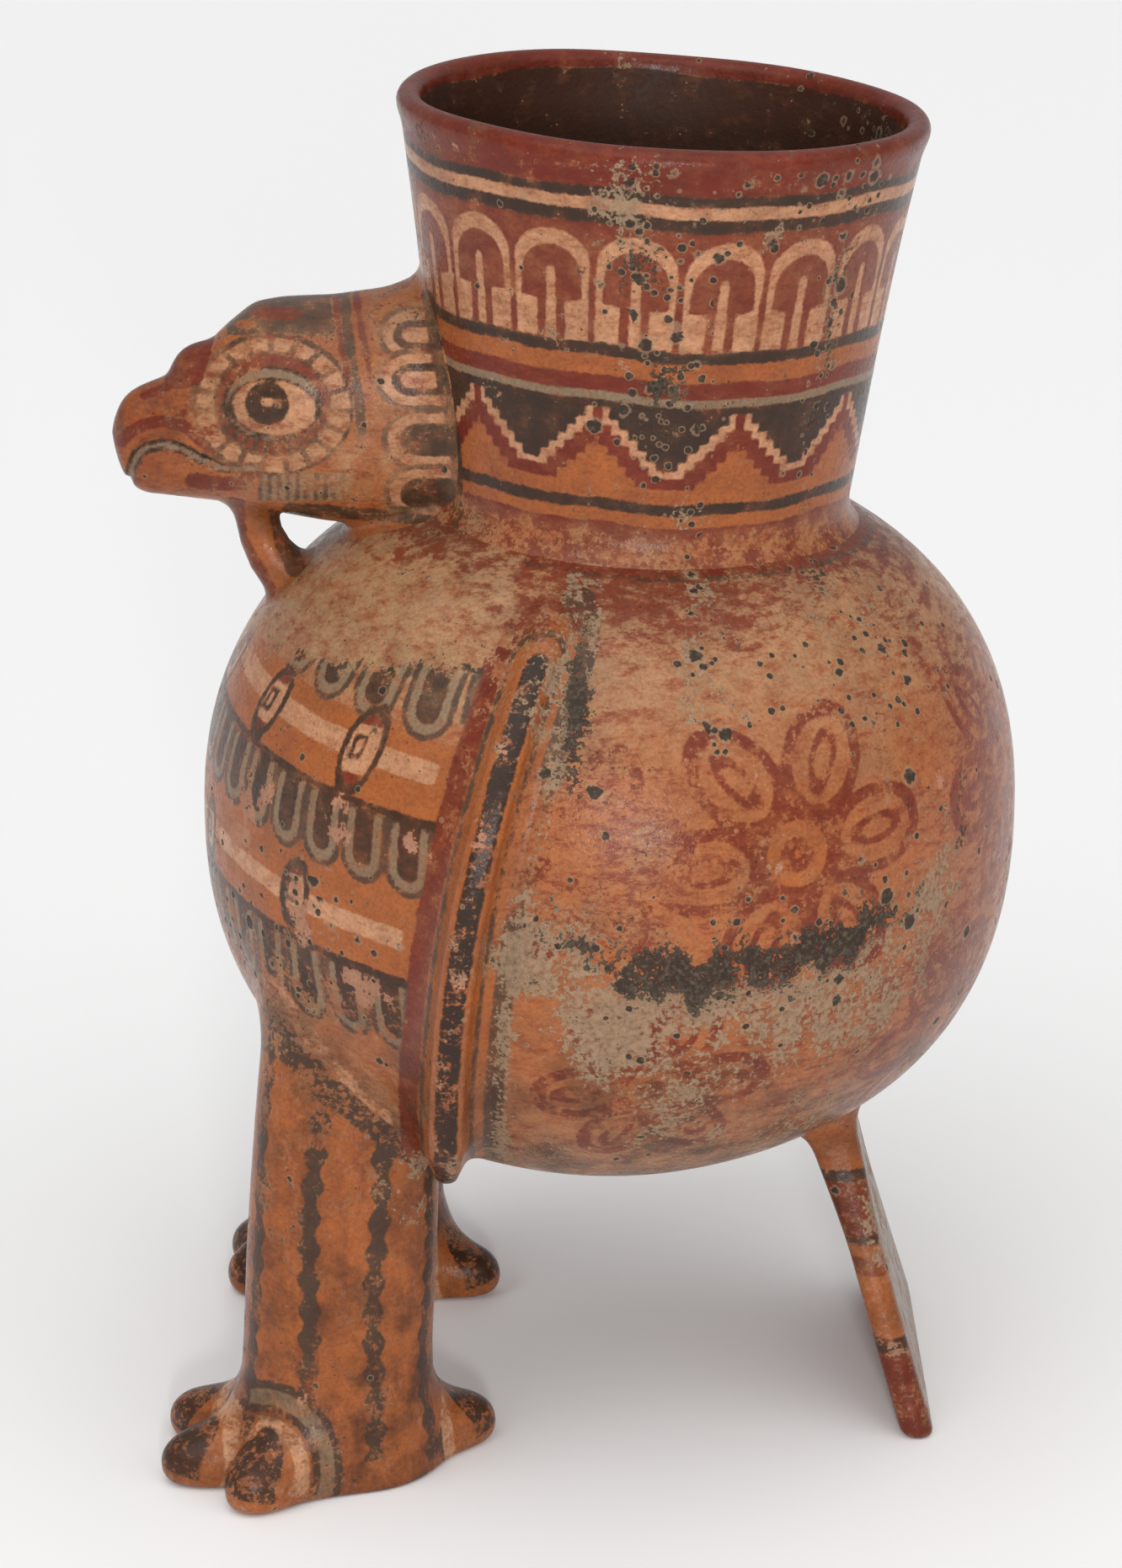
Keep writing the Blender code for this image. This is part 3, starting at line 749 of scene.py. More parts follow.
# Angle from the flank, arc over the equator, size and wear of each flower
FLOWERS = (
    (25.2, 24.4, 1.00, 0.14), (5, -44.3, 0.78, 0.26), (-5, 28, 0.74, 0.36), (73, 26, 0.95, 0.22),
    (57, -47, 0.80, 0.24), (118, 21, 1.00, 0.14), (102, -45, 0.80, 0.22),
)
FLOWER_RINGS = (("red", 13.4), ("orange", 9.4), ("red", 4.9), ("orange", 1.5))
# Angle, arc and half sizes of each bead
BEADS = (
    (-38.4, 48.6, 7.2, 13.6), (-61, 51.5, 6.6, 12), (-83, 51.5, 6.6, 12),
    (-47.8, 2.5, 6, 11), (-74, 4, 6, 11),
)
# Phase and pitch in degrees, top, tip and half width of each row of feathers
FEATHER_ROWS = ((-29, 10.4, 80, 57, 8.2), (-28.1, 7.4, 34.5, 13, 7.5), (-31.6, 7.4, -13.4, -37.5, 7.3))
WING_BANDS = (
    ("orange", -13.4, 12), ("red", -13.4, -8), ("grey", -7.4, -6.6), ("dark", -3.1, 2.9), ("grey", 6.6, 7.6),
    ("grey", 10.6, 15.6),
)
# The mineral tide line: its arc and half width at each angle
TIDE_ANGLE = (-20, -13, -4, 0, 6, 13, 23, 32, 43, 49, 56)
TIDE_ARC = (5, 4.5, 0.7, -6, -7, -6, -4.6, -3, 0.5, 8, 22)
TIDE_HALF = (2, 3.5, 4.5, 7.5, 9, 9, 8, 9, 4, 3, 2)
# Angle, arc, half sizes and amount of each weathered patch
BODY_PATCHES = {
    "deposit": (
        (-1, -26, 9, 13, 0.62), (36, -30, 14, 10, 0.42), (52, 6, 7, 16, 0.62), (-9, 80, 4.5, 20, 0.62),
        (14, 72, 4.5, 22, 0.50), (-11, -2, 6, 12, 0.55), (48, 90, 12, 14, 0.40), (20, 106, 6, 8, 0.52),
        (-30, 108, 7, 5, 0.46), (22, -34, 24, 18, 0.34), (24, -72, 40, 14, 0.30), (12, -52, 10, 14, 0.30),
        (128, 8, 16, 18, 0.46), (150, -24, 14, 14, 0.44), (90, -8, 10, 12, 0.42),
    ),
    "crust": (
        (55.5, 16, 3, 16, 0.46), (-5.6, 72, 2.2, 24, 0.72), (-28, 107, 5, 4, 0.48), (24, 107, 4, 5, 0.40),
        (52, 102, 9, 8, 0.48), (136, 4, 12, 6, 0.52),
    ),
    "flake": (
        (-62, 15, 5, 14, 0.58), (-56, 25, 4, 9, 0.56), (-40, 28, 3, 9, 0.62), (-28, 27, 3, 5, 0.58),
        (-46.5, -2, 4, 12, 0.62), (-38, -18, 3, 7, 0.60), (-34, -21, 3, 8, 0.58), (21, 24, 3, 9, 0.36),
        (52, 30, 4, 8, 0.38),
    ),
    "flush": (
        (2, 96, 16, 14, 0.50), (-22, 98, 12, 8, 0.55), (30, 92, 10, 10, 0.45), (-4, 30, 12, 26, 0.46),
        (44, -34, 28, 34, 0.46), (66, 30, 18, 66, 0.74),
    ),
    "spots": (
        (15.4, 78, 4, 30, 0.62), (47, 78, 4, 34, 0.60), (-43, 0, 12, 10, 0.46), (-62, -22, 22, 18, 0.50),
        (44, 78, 24, 28, 0.26), (0, 0, 8, 10, 0.30),
    ),
}


def globe_places(points):
    """Angle from the flank towards the tail, arc up from the equator and millimetres in a degree."""
    x = (points[:, 0] - BODY_CENTRE_X) / MM
    y = np.abs(points[:, 1]) / MM
    radius, height, along = meridian(0.0)
    arc = np.interp(points[:, 2] - BODY_CENTRE_Z, height, along - along[len(along) // 2]) / MM
    return np.degrees(np.arctan2(x, y)), arc, np.radians(np.hypot(x, y))


def feather_row(slip, s, v, top, tip, half, zone):
    slip.lay("grey", tongue(s, v, half, tip), v - top, zone)
    slip.lay("stone", tongue(s, v, half - 1.5, tip + 1.5), v - top + 1.2, zone)
    slip.lay("dark", tongue(s, v, half - 4.3, tip + 4.6), v - top + 0.5, zone)
    slip.lay("dark", strip(v, top - 0.6, top + 1.4), zone)


def bead(slip, s, v, half_s, half_v, zone):
    s = s - 0.18 * v
    shape = cut(oval(s, v, half_s, half_v), zone)
    inner = shape + 1.7
    window = cut(np.abs(s + 1.4) - 2.3, np.abs(v - 0.6) - 3.6)
    slip.lay("dark", shape)
    slip.lay("cream", inner)
    slip.lay("red", inner, 0.52 * half_v - np.abs(v))
    slip.lay("dark", window, inner)
    slip.lay("cream", window + 1.1)


def flower(slip, s, v, size, zone):
    """Six petals with a heart each, round a ringed eye."""
    reach = np.hypot(s, v) / size
    local = np.radians(every(np.degrees(np.arctan2(v, s)), 5.0, 60.0))
    along = reach * np.cos(local) - 26.5
    aside = reach * np.sin(local)
    slip.lay("red", np.abs(oval(along, aside, 14.6, 10.6) * size) - 1.5, zone)
    slip.lay("red", np.abs(oval(along, aside, 7.6, 3.2) * size) - 0.75, zone)
    for colour, rim in FLOWER_RINGS:
        slip.lay(colour, (reach - rim) * size, zone)


def weather_body(slip, angle, arc, shoulder):
    """Mineral tide lines, crusts, drips and the streaks left of the worn slip, with painted shade towards
    the globe's bottom and round the neck's foot.
    """
    tide = arc - np.interp(angle, TIDE_ANGLE, TIDE_ARC)
    tide = tide + 1.6 * np.sin(angle * 0.61 + 1.0) + 1.1 * np.sin(angle * 1.37)
    window = ease(angle, -16, -2) * (1.0 - ease(angle, 44, 56))
    strong = ease(angle, -3, 2) * (1.0 - ease(angle, 34, 42))
    line = bell(tide, np.interp(angle, TIDE_ANGLE, TIDE_HALF))
    slip.add(
        crust=window * line * (0.50 + 0.45 * strong),
        deposit=0.62 * window * bell(tide + 6.0, 14.0),
        spots=0.30 * window * bell(tide + 2.0, 16.0),
    )
    slip.weather(angle, arc, BODY_PATCHES)
    # A red flush round the neck's foot, and painted shade that darkens the globe towards its bottom
    slip.add(flush=0.80 * bell(shoulder - 4.0, 17.0), grime=0.75 * ease(-arc, 10, 70))
    slip.add(flush=0.16 + 0.10 * np.sin(np.radians(angle * 4.0 + 30.0)), deposit=0.24 * ease(-arc, 40, 95))
    # Painted shade round the neck's foot, in the crease where the neck meets the globe
    slip.add(grime=0.25 * bell(shoulder - 4.0, 22.0))


def wing_bands(points, slip, beside):
    """Strips of slip along the ridge, bent round its upper end."""
    x, y, z = points.T / MM
    over = np.maximum(z - 262.0, 0.0)
    beside = np.sign(beside) * np.hypot(beside, over)
    ends = cut(94.0 - z, 8.0 - np.abs(y) * 0.25)
    slip.bands(beside, WING_BANDS, ends)
    crest = np.exp(-(beside / 6.0) ** 4) * (ends < 0.0)
    wear = slip.wash["wear"]
    slip.put(wear=wear + (0.50 - wear) * crest, fade=slip.wash["fade"] * (1.0 - 0.9 * crest))
    slip.add(flake=0.24 * crest, deposit=0.50 * bell(beside - 15.0, 3.4) * (ends < 0.0))
    slip.add(fade=0.20 * ease(over, 2, 12))


def paint_body(points, inside=None):
    angle, arc, per_degree = globe_places(points)
    beside = (points[:, 0] - wing_line(points[:, 2])[1]) / MM
    v = arc + 0.2 * (angle + 40.0)
    coat = 0.84 - 0.70 * ease(arc, 34, 84) - 0.55 * ease(-arc, 30, 95)
    slip = Slip(points, coat=np.clip(coat, 0.0, 1.0), wear=0.40 + 0.20 * ease(arc, 40, 85))
    behind = np.maximum(15.6 - beside, -FAR)
    for at_angle, at_arc, size, worn in FLOWERS:
        s = (angle - at_angle) * per_degree
        t = arc - at_arc
        flower(slip, s, t, size, behind)
        loss = worn * patch(s, t, 42.0 * size, 42.0 * size)
        slip.add(wear=loss, fade=loss)
    shoulder = neck_column(points) / MM
    slip.lay("red", shoulder - 7.5, -arc)
    slip.lay("grey", np.abs(shoulder - 8.4) - 0.7, -arc)

    chest = np.maximum(beside + 13.4, -FAR)
    slip.lay("orange", strip(v, -16.0, 58.0), chest)
    for phase, pitch, top, tip, half in FEATHER_ROWS:
        feather_row(slip, every(angle, phase, pitch) * per_degree, v, top, tip, half, chest)
    slip.lay("cream", strip(v, 45.9, 52.0), chest + 3.4, angle + 10.0)
    slip.lay("cream", strip(v, -3.0, 2.8), chest + 3.0, angle + 10.0)
    for at_angle, at_arc, half_s, half_v in BEADS:
        bead(slip, (angle - at_angle) * per_degree, arc - at_arc, half_s, half_v, chest)
    in_front = ease(-beside, 12, 16)
    slip.put(beside < -12.0, wear=0.34 + 0.55 * ease(v - 0.55 * (angle + 36.0), 66, 84))
    slip.add(coat=-0.5 * in_front * ease(v, 60, 72), wear=0.22 * in_front * ease(-v, 10, 26))
    wing_bands(points, slip, beside)
    weather_body(slip, angle, arc, shoulder)
    if inside is not None:
        # The inside is the bare clay's brown, darkened further as painted shade
        slip.lay("brown", np.where(inside, -FAR, FAR))
        slip.put(inside, crust=0.0, deposit=0.0, spots=0.0, flush=0.0, fade=0.0)
    return slip.layers()


# Neck

RIM_BANDS = (("dark", 96.6, 99.2), ("cream", 92.7, 96.6), ("dark", 89.3, 92.7))
WAIST_BANDS = (
    ("dark", 51.8, 55), ("orange", 46, 51.8), ("red", 41.2, 46), ("stone", 38.6, 41.2),
    ("orange", 10.4, 38.6),
)
FOOT_BANDS = (("dark", 36.9, 38.9), ("dark", 7.3, 10.4), ("orange", 3.4, 7.3))
PANEL_PITCH = 20.0
PANEL_PHASE = -6.2
STEP_PITCH = 36.0
STEP_PHASE = 4.0
STEP_BORDERS = (("red", 5.4), ("cream", 2.2), ("dark", 0.0))
NECK_SEAM = ((508, 350), (512, 380), (524, 452), (534, 500), (539, 545), (541, 640))
NECK_PATCHES = {
    "deposit": (
        (-10, 97, 8, 13, 0.70), (-7, 76, 6, 12, 0.40), (3, 45, 6, 8, 0.55), (-45, 36, 6, 6, 0.60),
        (-52, 68, 5, 6, 0.48), (45, 64, 4, 44, 0.46), (10, 8, 5, 9, 0.50), (24, 88, 4, 6, 0.40),
        (-24, 58, 7, 6, 0.36), (112, 60, 9, 26, 0.46), (150, 30, 14, 10, 0.42),
    ),
    "flake": (
        (-42, 36, 4.5, 5, 0.52), (-7, 49, 3.4, 4.5, 0.50), (-57, 67, 3.4, 5, 0.46), (-38, 64, 2.6, 4, 0.40),
        (-53, 104, 8, 3, 0.40), (24, 52, 4, 3, 0.38),
    ),
    "crust": (
        (-6, 77, 7, 12, 0.56), (2, 47, 6, 8, 0.58), (0, 30, 9, 8, 0.38), (46, 70, 2.6, 40, 0.40),
        (46, 30, 8, 8, 0.30), (112, 66, 4, 20, 0.42),
    ),
    "spots": (
        (-6, 84, 8, 18, 0.85), (2, 52, 8, 22, 0.85), (2, 26, 10, 14, 0.60), (22, 90, 14, 10, 0.32),
        (46, 62, 6, 48, 0.66), (12, 8, 6, 10, 0.55), (40, 100, 20, 10, 0.30), (112, 60, 12, 40, 0.55),
    ),
}


def stepped(s, h, grow):
    """A triangle that points down in six steps, grown by a border."""
    made = np.full(s.shape, FAR * 4.0)
    for k in range(6):
        half = 16.6 - 2.75 * k + grow
        low = 36.4 - 2.65 * (k + 1) - grow
        made = np.minimum(made, cut(np.abs(s) - half, low - h))
    return made


def paint_neck(points, inside):
    slip = Slip(points, "red", coat=0.56)
    across, radius, height = neck_polar(points)
    angle = np.degrees(np.arctan2(across, np.abs(points[:, 1])))
    round_angle = np.degrees(np.arctan2(across, -points[:, 1]))
    per_degree = np.radians(radius / MM)
    h = height / MM + 0.5 * np.sin(np.radians(round_angle * 5.0))
    h = h + 0.3 * np.sin(np.radians(round_angle * 11.0 + 40.0))
    slip.bands(h, RIM_BANDS)

    s = every(round_angle, PANEL_PHASE, PANEL_PITCH) * per_degree
    half = PANEL_PITCH / 2.0 * per_degree - 0.8
    slip.lay("cream", arch(s, h, half, 77.0, 9.6), 55.0 - h)
    crown = cut(arch(s, h, 8.9, 73.0, 8.8), 65.8 - h + 0.10 * np.abs(s))
    slip.lay("red", crown, -arch(s, h, 1.5, 74.6, 1.5))
    slip.lay("red", np.abs(np.abs(s) - 2.8) - 1.1, strip(h, 55.0, 69.0))

    slip.bands(h, WAIST_BANDS)
    s = every(round_angle, STEP_PHASE, STEP_PITCH) * per_degree
    for colour, grow in STEP_BORDERS:
        slip.lay(colour, stepped(s, h, grow), strip(h, 10.4, 37.0))
    slip.bands(h, FOOT_BANDS)
    slip.lay("dark", stroke(*picture(points), 1.5, NECK_SEAM), 30.0 + points[:, 0] / MM)

    slip.put(
        wear=0.34 + 0.26 * ease(-h, -6, 2) + 0.10 * soft_strip(h, 99.5, 106.0),
        fade=0.06 + 0.20 * soft_strip(h, 55.0, 89.0) + 0.34 * ease(-h, -5, -1),
    )
    # The red flush low on the neck, and a little painted shade towards the rim
    slip.add(flush=0.38 * ease(h, 4, 12), grime=0.12 * ease(h, 84, 98))
    slip.add(flush=0.30 * ease(-h, -12, 0))
    slip.weather(angle, h, NECK_PATCHES)
    # The inside is the bare clay's brown, darkened further as painted shade
    slip.lay("brown", np.where(inside, -FAR, FAR), h - 106.4)
    plain = inside & (h < 105.6)
    slip.put(plain, crust=0.0, deposit=0.0, spots=0.0, flake=0.0, wear=0.10, fade=0.0)
    inner_crust = patch(round_angle - 96.0, h - 92.0, 26.0, 18.0) * plain
    slip.add(crust=0.45 * inner_crust, spots=0.80 * inner_crust)
    return slip.layers()


# Head, in places of the picture

# Middle and half sizes of the ovals
EYE_RING = (322, 481.5, 92, 80)
RED_RING = (320.5, 480, 68, 60)
EYELID = (321, 480, 56, 42)
ALMOND = (323, 484.5, 51, 32.5)
PUPIL = (315, 478, 8.5, 6)
CROWN_BLOT = (330, 372, 34, 9)
BROW = (290, 385, 14, 6)
IRIS_PLACE = (314.5, 479.5)
IRIS_RADIUS = 6.4
# Half width in millimetres and line of the strokes
BAND_STROKES = (
    ("grey", 1.5, ((408, 350), (414, 420), (424, 470), (427, 520))),
    ("red", 1.0, ((398, 350), (402, 400), (413, 450))),
)
NAPE_STROKE = (0.9, ((422, 350), (432, 410), (440, 450)))
THROAT_STROKE = (1.6, ((340, 604), (400, 607), (470, 612), (540, 620)))
UPPER_ARC = (
    (142, 524), (152, 513), (170, 504), (190, 500), (214, 505), (238, 524), (260, 541), (296, 552),
)
BEAK_STROKES = (
    (0.8, ((210, 491), (228, 487))),
    (1.5, ((127, 500), (131, 540), (146, 580))),
    (2.0, ((226, 570), (258, 575), (284, 572), (302, 560))),
    (1.2, ((170, 470), (200, 458), (222, 452))),
)
GAPE = (
    (151.5, 582), (154, 556), (161, 540), (172, 531.5), (190, 528), (212, 532), (238, 546), (260, 554.5),
    (283, 556.5), (306, 556),
)
# Middle and outer radius of the lobes at the nape
LOBES = ((487, 396, 40), (486, 449, 43), (494, 520, 44), (494, 584, 41))
STRAP_STROKES = (
    ("red", 2.4, ((278, 596), (282, 640), (300, 668), (318, 700))),
    # The brown stroke is painted shade on the strap's inner side, facing the loop's opening
    ("brown", 3.0, ((330, 600), (336, 640), (350, 672))),
)


def paint_eye(slip, u, v):
    """The ring of blocks, the red ring, the lid and the eye, with the distances that wear follows."""
    ring = picture_oval(u, v, EYE_RING)
    reach = np.hypot(u - EYE_RING[0], v - EYE_RING[1]) * PIXEL
    turn = np.degrees(np.arctan2((v - EYE_RING[1]) / EYE_RING[3], (u - EYE_RING[0]) / EYE_RING[2]))
    red_ring = picture_oval(u, v, RED_RING)
    lid = picture_oval(u, v, EYELID)
    almond = picture_oval(u, v - 0.05 * (u - ALMOND[0]), ALMOND)
    iris = np.hypot(u - IRIS_PLACE[0], v - IRIS_PLACE[1]) * PIXEL - IRIS_RADIUS
    slip.lay("dark", ring - np.where(turn < -30.0, 1.5, 0.7))
    slip.lay("cream", ring)
    slip.lay("dark", np.abs(np.radians(every(turn, 4.0, 19.0))) * reach - 0.65, ring)
    slip.lay("dark", red_ring - 0.55)
    slip.lay("red", red_ring)
    low_ticks = np.abs(np.radians(every(turn, 8.0, 13.0))) * reach - 0.55
    slip.lay("dark", low_ticks, red_ring, (486.0 - v) * PIXEL)
    for shape, edge, colour in ((lid, 0.6, "stone"), (almond, 0.5, "cream")):
        slip.lay("dark", shape - edge)
        slip.lay(colour, shape)
    slip.lay("dark", iris)
    slip.lay("cream", picture_oval(u, v, PUPIL))
    return ring, red_ring, lid, (almond < 0.0) * (iris > 0.0)


def paint_head(points):
    slip = Slip(points, "orange", coat=0.32, spots=0.02)
    u, v = picture(points)
    crown = cut(v - 398.0, 268.0 - u, u - 398.0) * PIXEL
    slip.lay("grey", crown)
    slip.lay("red", picture_oval(u, v, CROWN_BLOT), crown)
    slip.lay("orange", picture_oval(u, v, BROW))
    ring, red_ring, lid, white = paint_eye(slip, u, v)

    band = cut(392.0 + 0.16 * (v - 360.0) - u, u - 438.0 - 0.10 * (v - 360.0), v - 560.0) * PIXEL
    slip.lay("orange", band, 0.7 - ring)
    for colour, half, line in BAND_STROKES:
        slip.lay(colour, stroke(u, v, half, line), 0.7 - ring)
    slip.lay("red", stroke(u, v, *NAPE_STROKE))

    column = cut(440.0 + 0.04 * (v - 400.0) - u, v - 606.0) * PIXEL
    hearts = np.full(len(points), FAR)
    for middle_u, middle_v, outer in LOBES:
        inner = outer * 0.52
        lobe = cut(tongue((v - middle_v) * 1.18, u - middle_u, outer, -outer) * PIXEL, column)
        heart = tongue((v - middle_v) * 1.2, u - middle_u, inner, -inner) * PIXEL
        hearts = np.minimum(hearts, heart)
        slip.lay("grey", lobe)
        slip.lay("cream", lobe + 1.6)
        slip.lay("dark", heart, column)
        if middle_v < 460:
            slip.lay("cream", heart + 2.4, column)
    slip.lay("dark", stroke(u, v, 1.7, NECK_SEAM))

    jaw = cut(cut(304.0 - u, u - 412.0, 562.0 - v, v - 593.0) * PIXEL, 0.5 - ring)
    slip.lay("stone", jaw)
    slip.lay("grey", np.abs(every(u, 306.0, 11.0)) * PIXEL - 0.5, jaw)
    slip.lay("dark", stroke(u, v, *THROAT_STROKE))

    ahead = (302.0 - u) * PIXEL
    slip.lay("red", stroke(u, v, 1.7, UPPER_ARC), -ahead, 0.8 - ring)
    for half, line in BEAK_STROKES:
        slip.lay("red", stroke(u, v, half, line))
    slip.lay("red", np.hypot(u - 222.0, v - 428.0) * PIXEL - 7.0, 0.8 - ring)
    slip.lay("dark", stroke(u, v, 1.55, GAPE))
    slip.lay("stone", stroke(u, v, 0.85, GAPE))

    fade = 0.24 + 0.28 * ease(280.0 - u, 0, 40) * (ring < 2.0) + 0.15 * (jaw < 0.5)
    slip.put(wear=0.46 - 0.04 * ease(-v, -420, -380), fade=fade)
    slip.add(fade=0.26 * (ring < 0.0) * (red_ring > 0.0) + 0.24 * (column < 0.0) * (hearts > 0.0))
    slip.put(fade=slip.wash["fade"] * (1.0 - 0.55 * (lid < 0.6)))
    slip.add(fade=0.26 * white - 0.14 * ease(ahead, 4, 10) * (ring > 2.0))
    cheek = patch(u - 418.0, v - 548.0, 46.0, 32.0)
    slip.add(fade=0.45 * cheek, coat=-0.25 * cheek)
    # A red flush, and painted shade that darkens the beak towards its front
    slip.add(flush=0.34 + 0.36 * ease(240.0 - u, 0, 60), grime=0.06 + 0.28 * ease(250.0 - u, 0, 60))
    return slip.layers()


def paint_knob(points):
    return Slip(points, "red", wear=0.34, spots=0.0).layers()


def paint_strap(points):
    slip = Slip(points, "orange", wear=0.48, fade=0.30, spots=0.0)
    for colour, half, line in STRAP_STROKES:
        slip.lay(colour, stroke(*picture(points), half, line))
    # Painted shade over the whole strap
    slip.add(grime=0.35)
    return slip.layers()


# Tail and feet

TAIL_BANDS = (
    ("dark", 76.5, 80), ("red", 60, 76.5), ("dark", 58, 60), ("red", 49, 54), ("dark", 26, 30.5),
)
CLAW_PLACE = (308.0, 1746.0)
INSTEP_RINGS = (("cream", 10.6, 14.8), ("grey", 16.2, 18), ("stone", 18, 22.6), ("grey", 22.6, 24.6))
STRIPE_PITCH = 40.0
STRIPE_PHASE = -17.0


def paint_tail(points):
    slip = Slip(points, "orange", coat=0.45, wear=0.50)
    x, y, z = points.T / MM
    tilt, half_width = (amount / MM for amount in tail_place(points))
    slip.bands(z, TAIL_BANDS)
    slip.lay("red", z - 26.0)
    outer_face = 2.0 - tilt
    slip.lay("stone", np.abs(y) - half_width + 3.0, outer_face)
    slip.lay("dark", np.abs(y) - 1.6, outer_face, z - 84.0)
    slip.lay("red", np.abs(np.abs(y) - half_width * 0.62) - 1.4, outer_face, z - 84.0)
    slip.add(
        fade=0.40 * soft_strip(z, 44.0, 58.0),
        flake=0.34 * bell(z - 27.0, 5.0),
        deposit=0.5 * bell(z - 60.0, 18.0) * (tilt > 0.0),
        # painted shade over the whole tail
        grime=0.34,
        flush=0.25,
    )
    return slip.layers()


def instep_bands(slip, points, side):
    """Arcs of slip over the instep, round the claw of the outer toe."""
    u, v = picture(points)
    away = np.hypot(u - CLAW_PLACE[0], (v - CLAW_PLACE[1]) * 0.92) * PIXEL
    outward = (side * points[:, 1] - LEG_FOOT_Y) / MM
    zone = cut(CLAW_PLACE[0] - 12.0 - u, (v - CLAW_PLACE[1] - 30.0) * 0.8) * PIXEL
    slip.bands(away, INSTEP_RINGS, cut(zone, points[:, 2] / MM - 40.0, 2.0 - outward))


def paint_leg(points, side):
    x, y = leg_place(points, side)
    turn = np.degrees(np.arctan2(x / LEG_HALF_DEPTH, side * y / LEG_HALF_WIDTH))
    up = points[:, 2] / MM
    top = globe(points) / MM
    slip = Slip(
        points, "orange", coat=0.62, spots=0.006, upright=ease(top, 2, 10),
        wear=0.48 + 0.14 * ease(up, 90, 125), fade=0.10 + 0.30 * ease(-top, -5, -2),
    )
    number = np.floor((turn - STRIPE_PHASE) / STRIPE_PITCH + 0.5)
    s = every(turn, STRIPE_PHASE, STRIPE_PITCH) * 0.44 + 0.7 * np.sin(up / 11.0 + number * 2.1)
    half = 2.2 + 0.85 * np.sin(up * math.tau / 9.6 + number)
    slip.lay("grey", np.abs(s) - half, 9.0 - up + 5.0 * np.sin(number * 2.7), 6.0 - top)
    slip.lay("cream", top - 5.0)
    slip.lay("grey", strip(top, 4.2, 9.4))
    instep_bands(slip, points, side)
    flake = 0.42 * patch(turn + 2.0, up - 84.0, 10.0, 4.0) + 0.40 * patch(turn + 24.0, up - 32.0, 12.0, 4.0)
    slip.add(
        flush=0.30,
        # Painted shade over the leg, darker towards the floor
        grime=0.48 + 0.27 * (1.0 - ease(up, 30, 90)),
        deposit=0.40 * patch(turn - 45.0, up - 100.0, 24.0, 26.0),
        flake=flake,
    )
    return carried(top < 1.8, paint_body(points), slip.layers())


def carried(zone, neighbour, own):
    """Own paint, but the neighbour's where a fillet lies on its skin."""
    return {name: np.where(zone, neighbour[name], own[name]) for name in own}


def paint_toe(points, side, turn, reach):
    along, aside = (amount / MM for amount in toe_place(points, side, turn))
    from_end = along - reach / MM
    up = points[:, 2] / MM
    bow = from_end + 0.018 * (up - 10.0) ** 2 * np.sign(up - 10.0)
    claw = oval(from_end + 7.5, aside, 10.0, 9.2)
    slip = Slip(points, "orange", coat=0.62, wear=0.55, flake=0.22 * bell(claw, 8.0), fade=0.14, spots=0.006)
    if TOE_OUT < turn < math.pi:
        instep_bands(slip, points, side)
    else:
        slip.bands(bow, (("cream", -21.0, -17.0), ("grey", -23.4, -21.0)))
    slip.lay("dark", claw, 4.5 + 0.3 * (from_end + 7.5) - up)
    if turn > math.pi:
        slip.lay("stone", strip(bow, -29.0, -25.5))
    # Painted shade over the whole toe
    slip.add(grime=0.40)
    return carried(leg(points, side) < 2.0 * MM, paint_leg(points, side), slip.layers())


# Pieces


def show(name, points, faces, paint, slot, normals=None):
    mesh = bpy.data.meshes.new("clay_" + name)
    mesh.from_pydata(hand(points).tolist(), [], faces)
    mesh.update()
    mesh.polygons.foreach_set("use_smooth", np.ones(len(mesh.polygons), dtype=bool))
    for layer, amount in paint.items():
        attribute = mesh.attributes.new(layer, "FLOAT", "POINT")
        attribute.data.foreach_set("value", np.ascontiguousarray(amount, dtype=np.float32))
    if normals is not None:
        mesh.normals_split_custom_set_from_vertices(normals.tolist())
    mesh.materials.append(CLAY)
    thing = add_thing("clay_" + name, mesh)
    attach(thing, "root")
    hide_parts(name)


def add_thing(name, data):
    thing = bpy.data.objects.new(name, data)
    bpy.context.scene.collection.objects.link(thing)
    return thing


def carve(name, slot, solid, low, high, step, paint):
    points, quads = surface_net(solid, low, high, step)
    show(name, points, quads.tolist(), paint(points), slot)


# Boxes that the pieces are carved in
HEAD_LOW = (BEAK_FRONT_X - 0.002, -0.046, HEAD_BASE_Z - 0.034)
HEAD_HIGH = (-0.012, 0.046, HEAD_BASE_Z + 0.082)
KNOB_LOW = (BEAK_FRONT_X + 0.010, -0.014, 0.306)
KNOB_HIGH = (BEAK_FRONT_X + 0.044, 0.014, 0.336)
STRAP_LOW = (-0.110, -0.024, 0.240)
STRAP_HIGH = (-0.055, 0.024, 0.300)
TAIL_LOW = (0.046, -0.062, 0.0)
TAIL_HIGH = (0.122, 0.062, 0.132)
# Low end, near and far distance from the middle, and high end
WING_BOX = ((-0.062, 0.100), 0.050, 0.140, (0.024, 0.296))
LEG_BOX = ((-0.120, 0.0), 0.020, 0.105, (-0.015, 0.195))
TOE_START = 0.012
TOE_ROOM = 0.026
TOE_TOP = 0.046
HEAD_MIDDLE = np.array([BEAK_FRONT_X + 0.045, 0.0, HEAD_BASE_Z + 0.018])
HEAD_PIECES = (
    ("head", "orange_tan_slip"), ("upper_beak", "orange_beak_slip"), ("lower_beak", "orange_beak_slip"),
)
MIDDLE_PIECES = (
    ("cere_knob", "dark_red_slip", knob_solid, KNOB_LOW, KNOB_HIGH, KNOB_STEP, paint_knob),
    ("chin_strap", "dark_red_slip", strap_solid, STRAP_LOW, STRAP_HIGH, STRAP_STEP, paint_strap),
    ("tail_slab", "red_edged_slip", tail_solid, TAIL_LOW, TAIL_HIGH, TAIL_STEP, paint_tail),
)


